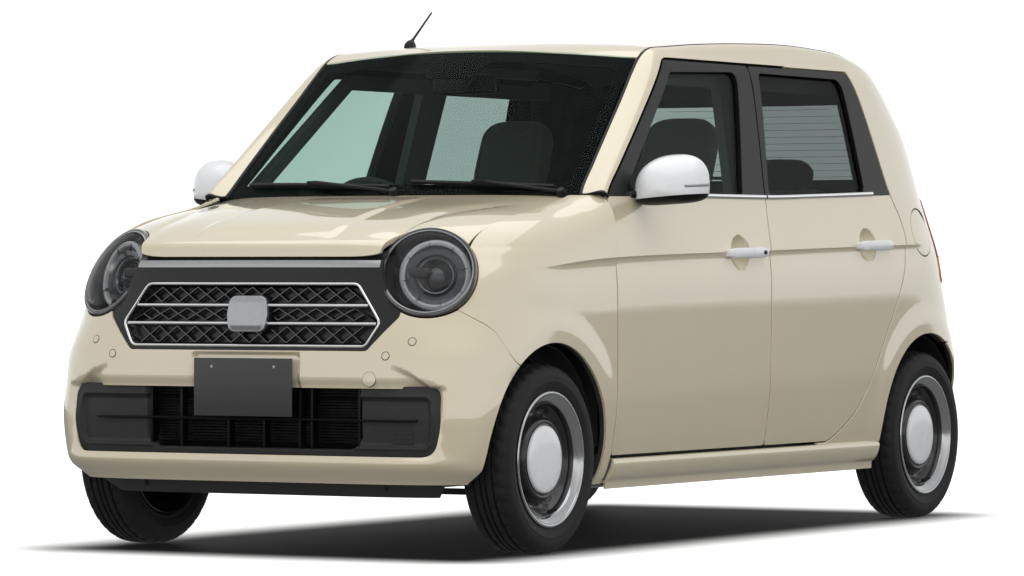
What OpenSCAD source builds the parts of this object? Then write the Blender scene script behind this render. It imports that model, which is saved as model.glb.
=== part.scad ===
// Small four-door hatchback with hollow cabin. Millimetres, +X = the car's left,
// -Y = front, +Z up, origin on the ground below the middle of the car.

/* [Body] */
// Overall width of the body without mirrors
body_w = 1475; // [1470:1:1480]
// Height of the sill's lower edge above the ground
sill_z = 178; // [174:1:182]
// Gap round a panel that moves
gap = 8; // [7:0.5:9]
// Thickness of a whole door below the belt line
door_t = 68; // [60:1:70]
// Thickness of the window frames of the doors
frame_t = 42; // [36:1:44]
// Thickness of the roof with its lining
roof_t = 38; // [30:1:40]

/* [Wheels] */
// Front axle position
axle_f = -1203; // [-1205:1:-1200]
// Distance between the axles
wheelbase = 2520; // [2518:1:2522]
// Distance between the wheel centres of one axle
track = 1305; // [1300:1:1308]
// Outer radius of the tyre
tyre_r = 274; // [270:1:278]
// Width of the tyre
tyre_w = 155; // [150:1:158]
// Radius where the tyre sits on the wheel
rim_r = 180; // [178:1:182]
// Radius of the wheel arch
arch_r = 335; // [333:1:336]
// Radius of the stub axles
stub_r = 15; // [14:0.5:16]

/* [Cabin] */
// Width of one front seat
seat_w = 450; // [430:5:460]
// Sideways place of the front seats
seat_x = 300; // [290:1:310]
// Radius of the steering wheel
steer_r = 180; // [170:1:185]
// Sideways place of the steering wheel, right-hand drive
steer_x = -310; // [-320:1:-300]

/* [Lamps] */
// Radius of the round headlamps
lamp_r = 132; // [128:1:134]
// Sideways turn of the headlamps
lamp_turn = 23.6; // [20:0.2:26]
// Backward lean of the headlamps
lamp_lean = 24; // [20:1:28]

/* [Hidden] */
$fn = 64;
axle_r = axle_f + wheelbase;
wheel_z = tyre_r;
kw = body_w / 1475;
lamp_c = [527, -1552, 812];
flap_c = [700, 1310, 935];
flap_r = 76;
pin_r = 10;
run = 0.05;
glass_t = 5;

// body side: [height, half width]
SIDE = [[170,660],[200,690],[250,712],[300,722],[400,733],[550,737.5],[830,735],[900,724],[960,711],
        [1000,702],[1050,691],[1200,662],[1380,624],[1440,600],[1470,580],[1500,545]];
// nose: [height, reach ahead of y = -1000, squareness]
NOSE = [[170,640,6],[200,660,6],[300,690,8],[420,697.5,8.5],[550,690,7.5],[600,686,6],[700,675,5],[800,660,5],[860,645,5],[900,610,4.6]];
// tail: [height, reach behind y = 1000, squareness]
TAIL = [[170,640,6],[200,660,6],[300,690,8],[420,697.5,8.5],[506,697.5,8.5],[650,675,6.4],[800,650,5],[1055,600,4.3],
        [1236,545,4.2],[1356,490,3.5],[1465,420,3.7],[1510,392,3.7]];
// bonnet: [y, height on the centre line, squareness of the shoulder]
DECK = [[-1640,880,5.8],[-1620,893,5.8],[-1560,925,5.8],[-1500,945,5.8],[-1400,968,5.8],[-1300,987,5.8],[-1100,1015,6],[-950,1038,7],[-830,1060,9]];
// roof: [y, height on the centre line]
ROOF = [[-440,1487],[-400,1495],[-200,1516],[200,1538],[600,1545],[1000,1540],[1300,1520],[1400,1506]];
// front door: [height, front edge y, rear edge y]
FDOOR = [[272,-820,168],[350,-820,168],[460,-820,168],[600,-820,170],[750,-820,172],[850,-818,178],[930,-816,190],[1000,-813,205],
         [1040,-800,215],[1120,-700,228],[1220,-574,243],[1320,-448,259],[1400,-348,271],[1452,-284,280]];
// rear door: [height, rear edge y]
RDOOR = [[272,590],[350,777],[460,884],[600,990],[750,1100],[850,1150],[930,1170],[1000,1152],[1040,1130],[1120,1098],[1220,1066],[1320,1034],[1400,1006],[1452,980]];
// rear quarter panel: [height, rear edge y]
QUART = [[200,1300],[350,1300],[460,1330],[620,1478],[750,1452],[850,1450],[930,1448],[1000,1446],[1055,1446],[1120,1452],[1220,1462],[1320,1420],[1400,1390],[1446,1345]];
// front wing: [height, front edge y]
WING = [[205,-1250],[300,-1290],[420,-1300],[500,-1310],[545,-1392],[580,-1436],[641,-1476],[691,-1540],[734,-1584],[800,-1565],[860,-1532]];
// front bumper: [angle round the nose, height of the top edge]
BUMP_TOP = [[31,562],[34.7,624],[39,676],[43,706],[47,680],[51,668],[55.7,664],[59.2,584],[90,580]];
// tailgate: [height, angle of the side edge round the tail, thickness]
GATE = [[622,50.2,45],[700,50,45],[800,50,45],[900,50,45],[980,50,45],[1055,49.6,45],[1140,46,45],[1236,42.2,45],[1300,41,42],[1356,40.6,38],[1410,41.4,34],[1445,43,30],[1468,47,24],[1482,53,20]];

function col(t, k) = [for (r = t) [r[0], r[k]]];
function rrow(a, b, n) = [for (i = [0:n]) a + (b - a) * i / n];
function sup(u, n) = pow(max(0, 1 - pow(min(max(u, 0), 1), n)), 1 / n);
function half(z) = lookup(z, SIDE) * kw;
function deck(y) = lookup(y, col(DECK, 1));
function sq_deck(y) = lookup(y, col(DECK, 2));
// plan factor of the side at one place
function plan(y, z) = y < -1000 ? sup((-1000 - y) / lookup(z, col(NOSE, 1)), lookup(z, col(NOSE, 2)))
                    : y > 1000 ? sup((y - 1000) / lookup(z, col(TAIL, 1)), lookup(z, col(TAIL, 2))) : 1;
// half width of the skin
function skin(y, z) = half(z) * plan(y, z);
// half width of the front wing, which turns in to the bonnet
function wing_w(y, z) = half(min(z, 700)) * plan(y, min(z, 880)) * (z > 600 ? sup((z - 600) / (deck(y) - 600), sq_deck(y)) : 1);
// height where the wing meets the bonnet's edge at half width e
function wing_top(y, e) = 600 + (deck(y) - 600) * sup(e / (half(600) * plan(y, 880)), sq_deck(y));
// point round the nose or the tail at an angle; 0 is the left side, 90 the middle
function polar(a, d, n, f) = 1 / pow(pow(abs(cos(f)) / a, n) + pow(abs(sin(f)) / d, n), 1 / n);
function nose(f, z, e = 0) = let (r = polar(half(z), lookup(z, col(NOSE, 1)), lookup(z, col(NOSE, 2)), f) - e) [r * cos(f), -1000 - r * sin(f), z];
function tail(f, z, e = 0) = let (r = polar(half(z), lookup(z, col(TAIL, 1)), lookup(z, col(TAIL, 2)), f) - e) [r * cos(f), 1000 + r * sin(f), z];
function roof_z(x, y) = lookup(y, ROOF) - 20 * pow(abs(x) / 500, 2) - 10 * pow(abs(x) / 500, 9);

// closed panel from a grid of skin points and a thickness per row; s = 1 where rows x columns points outwards
function unit(v) = v / max(norm(v), 0.000001);
function grid_n(P, i, j) = unit(cross(P[min(i + 1, len(P) - 1)][j] - P[max(i - 1, 0)][j], P[i][min(j + 1, len(P[0]) - 1)] - P[i][max(j - 1, 0)]));
module panel(P, T, s) {
    m = len(P); n = len(P[0]); h = m * n;
    pts = concat([for (i = [0:m - 1], j = [0:n - 1]) P[i][j]],
                 [for (i = [0:m - 1], j = [0:n - 1]) P[i][j] - s * T[i] * grid_n(P, i, j)]);
    function id(i, j, k) = i * n + j + k * h;
    f = concat(
        [for (i = [0:m - 2], j = [0:n - 2]) each [[id(i,j,0), id(i+1,j+1,0), id(i+1,j,0)], [id(i,j,0), id(i,j+1,0), id(i+1,j+1,0)],
                                                   [id(i,j,1), id(i+1,j,1), id(i+1,j+1,1)], [id(i,j,1), id(i+1,j+1,1), id(i,j+1,1)]]],
        [for (j = [0:n - 2]) each [[id(0,j+1,0), id(0,j,0), id(0,j,1)], [id(0,j+1,0), id(0,j,1), id(0,j+1,1)],
                                   [id(m-1,j,0), id(m-1,j+1,0), id(m-1,j+1,1)], [id(m-1,j,0), id(m-1,j+1,1), id(m-1,j,1)]]],
        [for (i = [0:m - 2]) each [[id(i,0,0), id(i+1,0,0), id(i+1,0,1)], [id(i,0,0), id(i+1,0,1), id(i,0,1)],
                                   [id(i+1,n-1,0), id(i,n-1,0), id(i,n-1,1)], [id(i+1,n-1,0), id(i,n-1,1), id(i+1,n-1,1)]]]);
    polyhedron(pts, s > 0 ? f : [for (t = f) [t[2], t[1], t[0]]]);
}
function same(P, t) = [for (r = P) t];
module both() { children(); mirror([1, 0, 0]) children(); }
// prism across the car from a side outline of [y, z]
module across(x0, x1, pts) { translate([x0, 0, 0]) rotate([90, 0, 90]) linear_extrude(x1 - x0) polygon(pts); }
// prism along the car from an outline of [x, z]
module along(y0, y1, pts) { translate([0, y1, 0]) rotate([90, 0, 0]) linear_extrude(y1 - y0) polygon(pts); }
module cyl_x(p, r, l) { translate(p) rotate([0, 90, 0]) cylinder(r = r, h = l); }
module box(a, b) { translate(a) cube(b - a); }

// ---- fixed body ----
module floor_pan() color("dimgray") difference() {
    across(-590, 590, [[-845,205],[560,205],[960,420],[1600,420],[1600,450],[945,450],[545,235],[-845,235]]);
    for (s = [-1, 1]) cyl_x([s > 0 ? 500 : -620, axle_r, wheel_z], arch_r, 120);
}

module body_sides() color([0.9, 0.87, 0.76]) both() {
    // lower ring: hinge post, sill, centre post
    difference() {
        across(590, 634, [[-830,205],[-830,960],[-765,960],[-765,300],[128,300],[128,960],[262,960],[262,300],[590,300],[740,390],[880,520],[975,640],[975,205]]);
        cyl_x([560, axle_r, wheel_z], arch_r, 120);
    }
    // outer sill
    along(-824, 975, [[600,262],[600,sill_z],[614,sill_z],[640,190],[688,200],[708,240],[714,262]]);
    // centre post and cant rail behind the door frames
    multmatrix([[1,0,-0.2,803],[0,1,0,0],[0,0,1,0]])
        across(-8, 22, [[128,930],[262,930],[330,1380],[1010,1380],[1010,1425],[-265,1425],[-765,1035],[-765,930],[-745,930],[-745,990],[-255,1380],[180,1380]]);
}

module roof() color([0.9, 0.87, 0.76]) {
    ys = [0, 0.05, 0.2, 0.4, 0.6, 0.8, 0.94, 1];
    xs = [-1, -0.96, -0.85, -0.6, -0.3, 0, 0.3, 0.6, 0.85, 0.96, 1];
    P = [for (v = ys) [for (u = xs) let (x = u * (552 - 30 * pow(v, 4)), y0 = -436 + 80 * u * u, y = y0 + (1380 - y0) * v) [x, y, roof_z(x, y)]]];
    panel(P, [22, 30, roof_t, roof_t, roof_t, roof_t, 28, 18], -1);
}

module front_wings() color([0.9, 0.87, 0.76]) both() difference() {
    vs = [0.45, 0.8, 1];
    P = concat([for (r = WING) [for (y = rrow(r[1], -828, 7)) [wing_w(y, r[0]), y, r[0]]]],
               [for (k = vs) [for (y = rrow(-1532 + 60 * k, -828, 7)) let (e = 612, zt = wing_top(y, e), z = 860 + (zt - 860) * k) [k == 1 ? e : wing_w(y, z), y, z]]]);
    panel(P, same(P, 26), -1);
    cyl_x([300, axle_f, wheel_z], arch_r, 600);
    lamp_axis() translate([0, 0, -200]) cylinder(r = lamp_r + 4, h = 400);
}

// frame of the left headlamp: origin at its middle, z out of the lens
module lamp_axis() { translate(lamp_c) rotate([0, 0, lamp_turn]) rotate([90 - lamp_lean, 0, 0]) children(); }

module bulkhead() color("dimgray")
    across(-560, 560, [[-862,240],[-846,240],[-846,985],[-846,1010],[-925,1000],[-925,985],[-862,975]]);

// windscreen: v from the lower to the upper edge, u from right to left
function screen(u, v) = let (lo = [u * 588, -952 + 112 * u * u, 1043 - 6 * u * u], hi = [u * 540, -446 + 82 * u * u, 1482 - 32 * u * u])
    lo + (hi - lo) * v + [0, -16 * 4 * v * (1 - v) * 0.5, 16 * 4 * v * (1 - v) * 0.5];
module windscreen() color([0.55, 0.65, 0.62, 0.5]) {
    P = [for (v = rrow(0, 1, 6)) [for (u = rrow(-1, 1, 10)) screen(u, v)]];
    panel(P, same(P, glass_t), -1);
}

module front_bumper() color([0.9, 0.87, 0.76]) difference() {
    fs = [31.5, 34.7, 39, 43, 46, 50, 55, 59.2, 66, 75, 90];
    fa = concat(fs, [for (i = [len(fs) - 2:-1:0]) 180 - fs[i]]);
    vs = [0, 0.08, 0.2, 0.4, 0.6, 0.8, 0.92, 1];
    P = [for (v = vs) [for (f = fa) let (z = 210 + (lookup(f > 90 ? 180 - f : f, BUMP_TOP) - 210) * v) nose(f, z)]];
    panel(P, same(P, 36), 1);
    for (s = [-1, 1]) cyl_x([s > 0 ? 300 : -900, axle_f, wheel_z], arch_r, 600);
    both() lamp_axis() translate([0, 0, -200]) cylinder(r = lamp_r + 4, h = 400);
}

module grille() color([0.07, 0.07, 0.08]) {
    P = [for (z = rrow(596, 846, 5)) [for (f = rrow(62, 118, 10)) nose(f, z, 6)]];
    panel(P, same(P, 30), 1);
}

module headlamps() color([0.3, 0.3, 0.32]) both() lamp_axis() {
    translate([0, 0, -70]) cylinder(r = lamp_r, h = 66);
    translate([0, 0, -4]) cylinder(r1 = lamp_r, r2 = lamp_r - 24, h = 14);
}

module rear_quarters() color([0.9, 0.87, 0.76]) both() { quarter_panel(); lamp_sill(); }
module quarter_panel() difference() {
    P = [for (r = QUART) let (a = r[0] < 272 ? 600 + 0 : lookup(r[0], RDOOR) + gap + 5)
            [for (y = rrow(a, r[1], 7)) [skin(y, r[0]), y, r[0]]]];
    panel(P, same(P, 38), -1);
    cyl_x([300, axle_r, wheel_z], arch_r, 600);
    box([500, 100, 100], [800, 976, 263]);
    cyl_x([flap_c[0] - 22, flap_c[1], flap_c[2]], flap_r + gap + 2, 100);
}

// corner of the body below the tail lamp
module lamp_sill() {
    P = [for (z = rrow(620, 764, 3)) [for (f = rrow(36.2, 48.8, 4)) tail(f, z)]];
    panel(P, same(P, 36), -1);
}

module rear_bumper() color([0.9, 0.87, 0.76]) difference() {
    fs = [36, 39, 42, 45, 48, 52, 60, 75, 90];
    fa = concat(fs, [for (i = [len(fs) - 2:-1:0]) 180 - fs[i]]);
    P = [for (z = [212, 250, 320, 420, 506, 570, 612]) [for (f = fa) tail(f, z)]];
    panel(P, same(P, 36), -1);
    for (s = [-1, 1]) cyl_x([s > 0 ? 300 : -900, axle_r, wheel_z], arch_r, 600);
}

module tail_lamps() color([0.6, 0.05, 0.05]) both() {
    P = [for (z = rrow(770, 1052, 6)) [for (f = rrow(36.4, 48.8, 5)) tail(f, z)]];
    panel(P, same(P, 36), -1);
}

module wheel_liners() color([0.05, 0.05, 0.05]) both() for (y = [axle_f, axle_r]) difference() {
    cyl_x([y < 0 ? 556 : 500, y, wheel_z], arch_r - 3, y < 0 ? 129 : 185);
    cyl_x([490, y, wheel_z], arch_r - 8, 205);
    box([400, y - 400, -200], [800, y + 400, wheel_z + 20]);
}

module engine() color("gray") union() {
    box([-330, -1440, 330], [60, -1010, 780]);
    box([50, -1400, 300], [330, -1060, 620]);
}

module dashboard() color([0.09, 0.09, 0.1]) union() {
    across(-585, 585, [[-842,700],[-620,690],[-560,720],[-540,860],[-560,940],[-700,985],[-842,975]]);
    steer_frame() translate([0, 0, -150]) cylinder(r = 26, h = 118);
    steer_frame() translate([0, 0, -60]) cylinder(r = pin_r, h = 60);
}

module seat_shape(w, pts) { across(-w / 2, w / 2, pts); }
module front_seats() color([0.25, 0.24, 0.24]) for (s = [-1, 1]) translate([s * seat_x, 0, 0]) union() {
    seat_shape(seat_w, [[-290,400],[-300,480],[-270,530],[80,510],[140,560],[300,1040],[322,1040],[392,1240],[402,1262],[450,1262],[470,1220],[420,1030],[270,500],[210,380],[-200,370]]);
    for (x = [-150, 150]) box([x - 20, -180, 235.5], [x + 20, 180, 380]);
}

module rear_seat() color([0.25, 0.24, 0.24])
    across(-480, 480, [[640,400],[630,500],[660,545],[1010,520],[1180,1090],[1205,1120],[1250,1115],[1255,1080],[1090,456],[950,456],[760,376],[700,376]]);

// line of the left steering pivot
king_lo = [585, axle_f, 190];
king_hi = [500, axle_f, 800];
king_tilt = atan2(king_lo[0] - king_hi[0], king_hi[2] - king_lo[2]);
king_l = norm(king_hi - king_lo);
module king() { translate(king_lo) rotate([0, -king_tilt, 0]) children(); }

module front_suspension() color([0.15, 0.15, 0.16]) union() {
    box([-330, axle_f - 60, 215], [330, axle_f + 60, 262]);
    both() union() {
        box([300, axle_f - 28, 168], [600, axle_f + 28, 184]);
        box([290, axle_f - 28, 168], [325, axle_f + 28, 220]);
        king() translate([0, 0, -8]) cylinder(r = 8, h = 40);
        king() translate([0, 0, king_l - 290]) cylinder(r = pin_r, h = 130);
        king() translate([0, 0, king_l - 175]) cylinder(r = 58, h = 165);
        king() translate([0, 0, king_l - 12]) cylinder(r = 75, h = 14);
    }
}

module knuckle() difference() {
    union() {
        box([548, axle_f - 42, 205], [596, axle_f + 42, 385]);
        king() translate([0, 0, 170]) cylinder(r = 20, h = king_l - 170 - 185);
        cyl_x([590, axle_f, wheel_z], 34, 32);
        cyl_x([590, axle_f, wheel_z], stub_r, 98);
    }
    king() translate([0, 0, -30]) cylinder(r = 8 + run, h = 75);
    king() translate([0, 0, 200]) cylinder(r = pin_r + run, h = king_l);
    box([500, axle_f - 100, 100], [650, axle_f + 100, 204]);
}
module knuckle_left() color([0.2, 0.2, 0.21]) knuckle();
module knuckle_right() color([0.2, 0.2, 0.21]) mirror([1, 0, 0]) knuckle();

module rear_axle() color([0.15, 0.15, 0.16]) union() {
    cyl_x([-560, axle_r, wheel_z], 30, 1120);
    both() cyl_x([550, axle_r, wheel_z], stub_r, 138);
    both() cyl_x([555, axle_r, wheel_z], 60, 60);
    both() box([455, 890, 250], [495, axle_r, 298]);
    both() translate([430, axle_r - 75, 290]) cylinder(r = 48, h = 129.5);
}

module fuel_tank() color([0.12, 0.12, 0.13]) box([-330, -80, 158], [330, 520, 204.5]);

module exhaust() color("silver") union() {
    translate([420, 1500, 176]) rotate([90, 0, 0]) cylinder(r = 19, h = 2150);
    translate([420, 1490, 176]) cylinder(r = 19, h = 150);
    cyl_x([130, 1490, 330], 72, 320);
}

module antenna() color([0.08, 0.08, 0.08]) translate([-350, -190, roof_z(-350, -190) + 1.5]) union() {
    cylinder(r = 14, h = 16);
    translate([0, 0, 8]) rotate([-52, 0, 0]) cylinder(r = 4, h = 180);
}

module number_plates() color([0.2, 0.2, 0.21]) {
    difference() {
        box([-165, -1703.5, 400], [165, -1698, 565]);
        for (x = [-105, 105]) translate([x, -1690, 545]) rotate([90, 0, 0]) cylinder(r = 3.5, h = 20);
    }
    difference() {
        box([-165, 1698, 402], [165, 1703.5, 567]);
        for (x = [-105, 105]) translate([x, 1710, 547]) rotate([90, 0, 0]) cylinder(r = 3.5, h = 20);
    }
}

// ---- pieces that move ----
module bonnet() color([0.9, 0.87, 0.76]) difference() {
    P = [for (v = [0, 0.04, 0.12, 0.25, 0.45, 0.65, 0.85, 1]) [for (u = [-1, -0.9, -0.75, -0.5, -0.25, 0, 0.25, 0.5, 0.75, 0.9, 1])
        let (x = u * 596, y0 = -1622 + 152 * pow(abs(u), 3), y1 = -966 + 118 * u * u, y = y0 + (y1 - y0) * v)
        [x, y, deck(y) - (deck(max(y, -1470)) - wing_top(max(y, -1470), 612)) * pow(abs(u), 4)]]];
    panel(P, [16, 24, 30, 30, 30, 30, 24, 16], -1);
    both() lamp_axis() translate([0, 0, -200]) cylinder(r = lamp_r + 12, h = 500);
}

FWIN = [[-690,1052],[-262,1412],[178,1424],[64,1046]];
RWIN = [[262,1046],[336,1425],[905,1425],[925,1066]];
function inset(q, d) = let (c = (q[0] + q[1] + q[2] + q[3]) / 4) [for (p = q) p - unit(p - c) * d];
function quad(q, u, v) = (q[0] * (1 - u) + q[3] * u) * (1 - v) + (q[1] * (1 - u) + q[2] * u) * v;
module side_glass(q) {
    w = inset(q, 4);
    P = [for (v = rrow(0, 1, 4)) [for (u = rrow(0, 1, 4)) let (p = quad(w, u, v)) [skin(p[0], p[1]) - 18, p[0], p[1]]]];
    panel(P, same(P, glass_t), -1);
}
function door_tk(z) = z < 1010 ? door_t : frame_t;
module front_door() color([0.9, 0.87, 0.76]) difference() {
    P = [for (r = FDOOR) [for (y = rrow(r[1], r[2] - gap / 2, 5)) [skin(y, r[0]), y, r[0]]]];
    panel(P, [for (r = FDOOR) door_tk(r[0])], -1);
    across(400, 900, FWIN);
}
module rear_door() color([0.9, 0.87, 0.76]) difference() {
    P = [for (i = [0:len(RDOOR) - 1]) [for (y = rrow(FDOOR[i][2] + gap / 2, RDOOR[i][1], 5)) [skin(y, RDOOR[i][0]), y, RDOOR[i][0]]]];
    panel(P, [for (r = RDOOR) door_tk(r[0])], -1);
    across(400, 900, RWIN);
}
module front_door_left() front_door();
module front_door_right() mirror([1, 0, 0]) front_door();
module rear_door_left() rear_door();
module rear_door_right() mirror([1, 0, 0]) rear_door();
module front_window_left() color([0.4, 0.5, 0.47, 0.5]) side_glass(FWIN);
module front_window_right() color([0.4, 0.5, 0.47, 0.5]) mirror([1, 0, 0]) side_glass(FWIN);
module rear_window_left() color([0.2, 0.22, 0.22, 0.6]) side_glass(RWIN);
module rear_window_right() color([0.2, 0.22, 0.22, 0.6]) mirror([1, 0, 0]) side_glass(RWIN);

module mirror_body() {
    hull() for (p = [[745,-600,1062],[745,-575,1145],[868,-560,1050],[868,-545,1128]]) translate(p) sphere(r = 28, $fn = 20);
}
module door_mirror() difference() {
    union() { mirror_body(); box([704, -640, 1030], [760, -590, 1056]); }
}
module door_mirror_left() color([0.93, 0.93, 0.92]) door_mirror();
module door_mirror_right() color([0.93, 0.93, 0.92]) mirror([1, 0, 0]) door_mirror();

GWIN = [[-470,1085],[-440,1390],[440,1390],[470,1085]];
module tailgate() color([0.9, 0.87, 0.76]) difference() {
    P = [for (r = GATE) [for (f = rrow(r[1], 180 - r[1], 12)) tail(f, r[0])]];
    panel(P, [for (r = GATE) r[2]], -1);
    along(1200, 1800, GWIN);
}
function tail_y(x, z) = 1000 + lookup(z, col(TAIL, 1)) * sup(abs(x) / half(z), lookup(z, col(TAIL, 2)));
module tailgate_glass() color([0.2, 0.22, 0.22, 0.6]) {
    w = inset(GWIN, 5);
    P = [for (v = rrow(0, 1, 4)) [for (u = rrow(0, 1, 8)) let (p = quad(w, u, v)) [p[0], tail_y(p[0], p[1]) - 10, p[1]]]];
    panel(P, same(P, glass_t), 1);
}

module fuel_flap() color([0.9, 0.87, 0.76]) cyl_x([flap_c[0] + 2, flap_c[1], flap_c[2]], flap_r, 9);

// steering wheel frame: z towards the driver
steer_c = [steer_x, -430, 930];
steer_tilt = 62;
module steer_frame() { translate(steer_c) rotate([-steer_tilt, 0, 0]) children(); }
module steering_wheel() color([0.06, 0.06, 0.06]) steer_frame() difference() {
    union() {
        rotate_extrude() translate([steer_r - 14, 0]) circle(r = 14);
        translate([0, 0, -26]) cylinder(r = 55, h = 40);
        for (a = [0, 180, 270]) rotate([0, 0, a]) box([40, -16, -10], [steer_r - 14, 16, 6]);
    }
    translate([0, 0, -40]) cylinder(r = pin_r + run, h = 45);
}

module tyre_at(x, y) translate([x, y, wheel_z]) rotate([0, 90, 0]) rotate_extrude($fn = 96)
    polygon([[rim_r + 0.1, -62], [rim_r + 26, -tyre_w / 2 + 4], [rim_r + 48, -tyre_w / 2], [tyre_r - 22, -tyre_w / 2 + 6], [tyre_r - 5, -tyre_w / 2 + 18], [tyre_r, -tyre_w / 2 + 36],
             [tyre_r, tyre_w / 2 - 36], [tyre_r - 5, tyre_w / 2 - 18], [tyre_r - 22, tyre_w / 2 - 6], [rim_r + 48, tyre_w / 2], [rim_r + 26, tyre_w / 2 - 4], [rim_r + 0.1, 62]]);
// wheel disc with its rim and cap; z out of the car
module wheel_at(x, y, s) translate([x, y, wheel_z]) rotate([0, 90 * s, 0]) rotate_extrude($fn = 96)
    polygon([[stub_r + run, -28], [60, -28], [62, 18], [100, 24], [150, 14], [164, 0], [164, -66], [172, -70], [rim_r, -62], [rim_r, 62], [172, 70], [166, 62], [164, 20], [112, 38],
             [97, 44], [80, 56], [0, 60], [0, 42], [stub_r + run, 42]]);
module tyre_front_left() color([0.05, 0.05, 0.05]) tyre_at(track / 2, axle_f);
module tyre_front_right() color([0.05, 0.05, 0.05]) tyre_at(-track / 2, axle_f);
module tyre_rear_left() color([0.05, 0.05, 0.05]) tyre_at(track / 2, axle_r);
module tyre_rear_right() color([0.05, 0.05, 0.05]) tyre_at(-track / 2, axle_r);
module wheel_front_left() color([0.12, 0.12, 0.12]) wheel_at(track / 2, axle_f, 1);
module wheel_front_right() color([0.12, 0.12, 0.12]) wheel_at(-track / 2, axle_f, -1);
module wheel_rear_left() color([0.12, 0.12, 0.12]) wheel_at(track / 2, axle_r, 1);
module wheel_rear_right() color([0.12, 0.12, 0.12]) wheel_at(-track / 2, axle_r, -1);

floor_pan();
body_sides();
roof();
front_wings();
bulkhead();
windscreen();
front_bumper();
grille();
headlamps();
rear_quarters();
rear_bumper();
tail_lamps();
wheel_liners();
engine();
dashboard();
front_seats();
rear_seat();
front_suspension();
rear_axle();
fuel_tank();
exhaust();
antenna();
number_plates();
bonnet();
front_door_left();
front_door_right();
front_window_left();
front_window_right();
door_mirror_left();
door_mirror_right();
rear_door_left();
rear_door_right();
rear_window_left();
rear_window_right();
tailgate();
tailgate_glass();
fuel_flap();
steering_wheel();
knuckle_left();
knuckle_right();
tyre_front_left();
tyre_front_right();
tyre_rear_left();
tyre_rear_right();
wheel_front_left();
wheel_front_right();
wheel_rear_left();
wheel_rear_right();
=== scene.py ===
import bpy
import bmesh
import math
import numpy as np
from mathutils import Vector, Matrix


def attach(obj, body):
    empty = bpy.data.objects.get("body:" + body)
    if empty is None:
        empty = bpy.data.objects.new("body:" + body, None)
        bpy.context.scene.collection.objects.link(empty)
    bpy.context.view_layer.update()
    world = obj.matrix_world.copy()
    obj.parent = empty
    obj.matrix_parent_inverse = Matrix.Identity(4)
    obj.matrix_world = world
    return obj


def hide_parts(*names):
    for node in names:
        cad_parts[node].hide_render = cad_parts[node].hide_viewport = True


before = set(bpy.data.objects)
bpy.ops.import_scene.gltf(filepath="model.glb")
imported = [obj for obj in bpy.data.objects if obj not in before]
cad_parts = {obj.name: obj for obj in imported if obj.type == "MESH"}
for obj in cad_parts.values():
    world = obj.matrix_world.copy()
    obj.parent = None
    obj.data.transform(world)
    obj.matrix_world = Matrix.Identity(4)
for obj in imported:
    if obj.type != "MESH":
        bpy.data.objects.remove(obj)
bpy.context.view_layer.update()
COL = bpy.context.scene.collection


# ------------------------------------------------------------------ curves
class Curve:
    """Monotone cubic through a short table."""
    def __init__(s, pts, k=1):
        x = np.array([p[0] for p in pts], float)
        y = np.array([p[k] for p in pts], float)
        h = np.diff(x)
        d = np.diff(y) / h
        m = np.zeros_like(y)
        for i in range(1, len(x) - 1):
            if d[i - 1] * d[i] > 0:
                w1, w2 = 2 * h[i] + h[i - 1], h[i] + 2 * h[i - 1]
                m[i] = (w1 + w2) / (w1 / d[i - 1] + w2 / d[i])
        m[0], m[-1] = d[0], d[-1]
        s.x, s.y, s.m, s.h = x, y, m, h

    def __call__(s, q):
        q = np.asarray(q, float)
        c = np.clip(q, s.x[0], s.x[-1])
        i = np.clip(np.searchsorted(s.x, c, side="right") - 1, 0, len(s.h) - 1)
        h = s.h[i]
        t = (c - s.x[i]) / h
        v = ((1 + 2 * t) * (1 - t) ** 2 * s.y[i] + t * (1 - t) ** 2 * h * s.m[i]
             + t * t * (3 - 2 * t) * s.y[i + 1] + t * t * (t - 1) * h * s.m[i + 1])
        return v + np.where(q < s.x[0], (q - s.x[0]) * s.m[0], 0) + np.where(q > s.x[-1], (q - s.x[-1]) * s.m[-1], 0)


class Spline(Curve):
    """Natural cubic spline through a short table."""
    def __init__(s, pts, k=1):
        Curve.__init__(s, pts, k)
        n = len(s.x)
        a = np.zeros((n, n))
        b = np.zeros(n)
        for i in range(1, n - 1):
            a[i, i - 1], a[i, i], a[i, i + 1] = 1 / s.h[i - 1], 2 * (1 / s.h[i - 1] + 1 / s.h[i]), 1 / s.h[i]
            b[i] = 3 * ((s.y[i] - s.y[i - 1]) / s.h[i - 1] ** 2 + (s.y[i + 1] - s.y[i]) / s.h[i] ** 2)
        a[0, 0], a[0, 1], b[0] = 2, 1, 3 * (s.y[1] - s.y[0]) / s.h[0]
        a[-1, -1], a[-1, -2], b[-1] = 2, 1, 3 * (s.y[-1] - s.y[-2]) / s.h[-1]
        s.m = np.linalg.solve(a, b)


def sstep(a, b, x):
    t = np.clip((np.asarray(x, float) - a) / (b - a), 0, 1)
    return t * t * (3 - 2 * t)


def sup(u, n):
    return np.maximum(0, 1 - np.clip(u, 0, 1) ** n) ** (1 / n)


def unit(v):
    return v / np.maximum(np.linalg.norm(v, axis=-1, keepdims=True), 1e-12)


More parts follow.
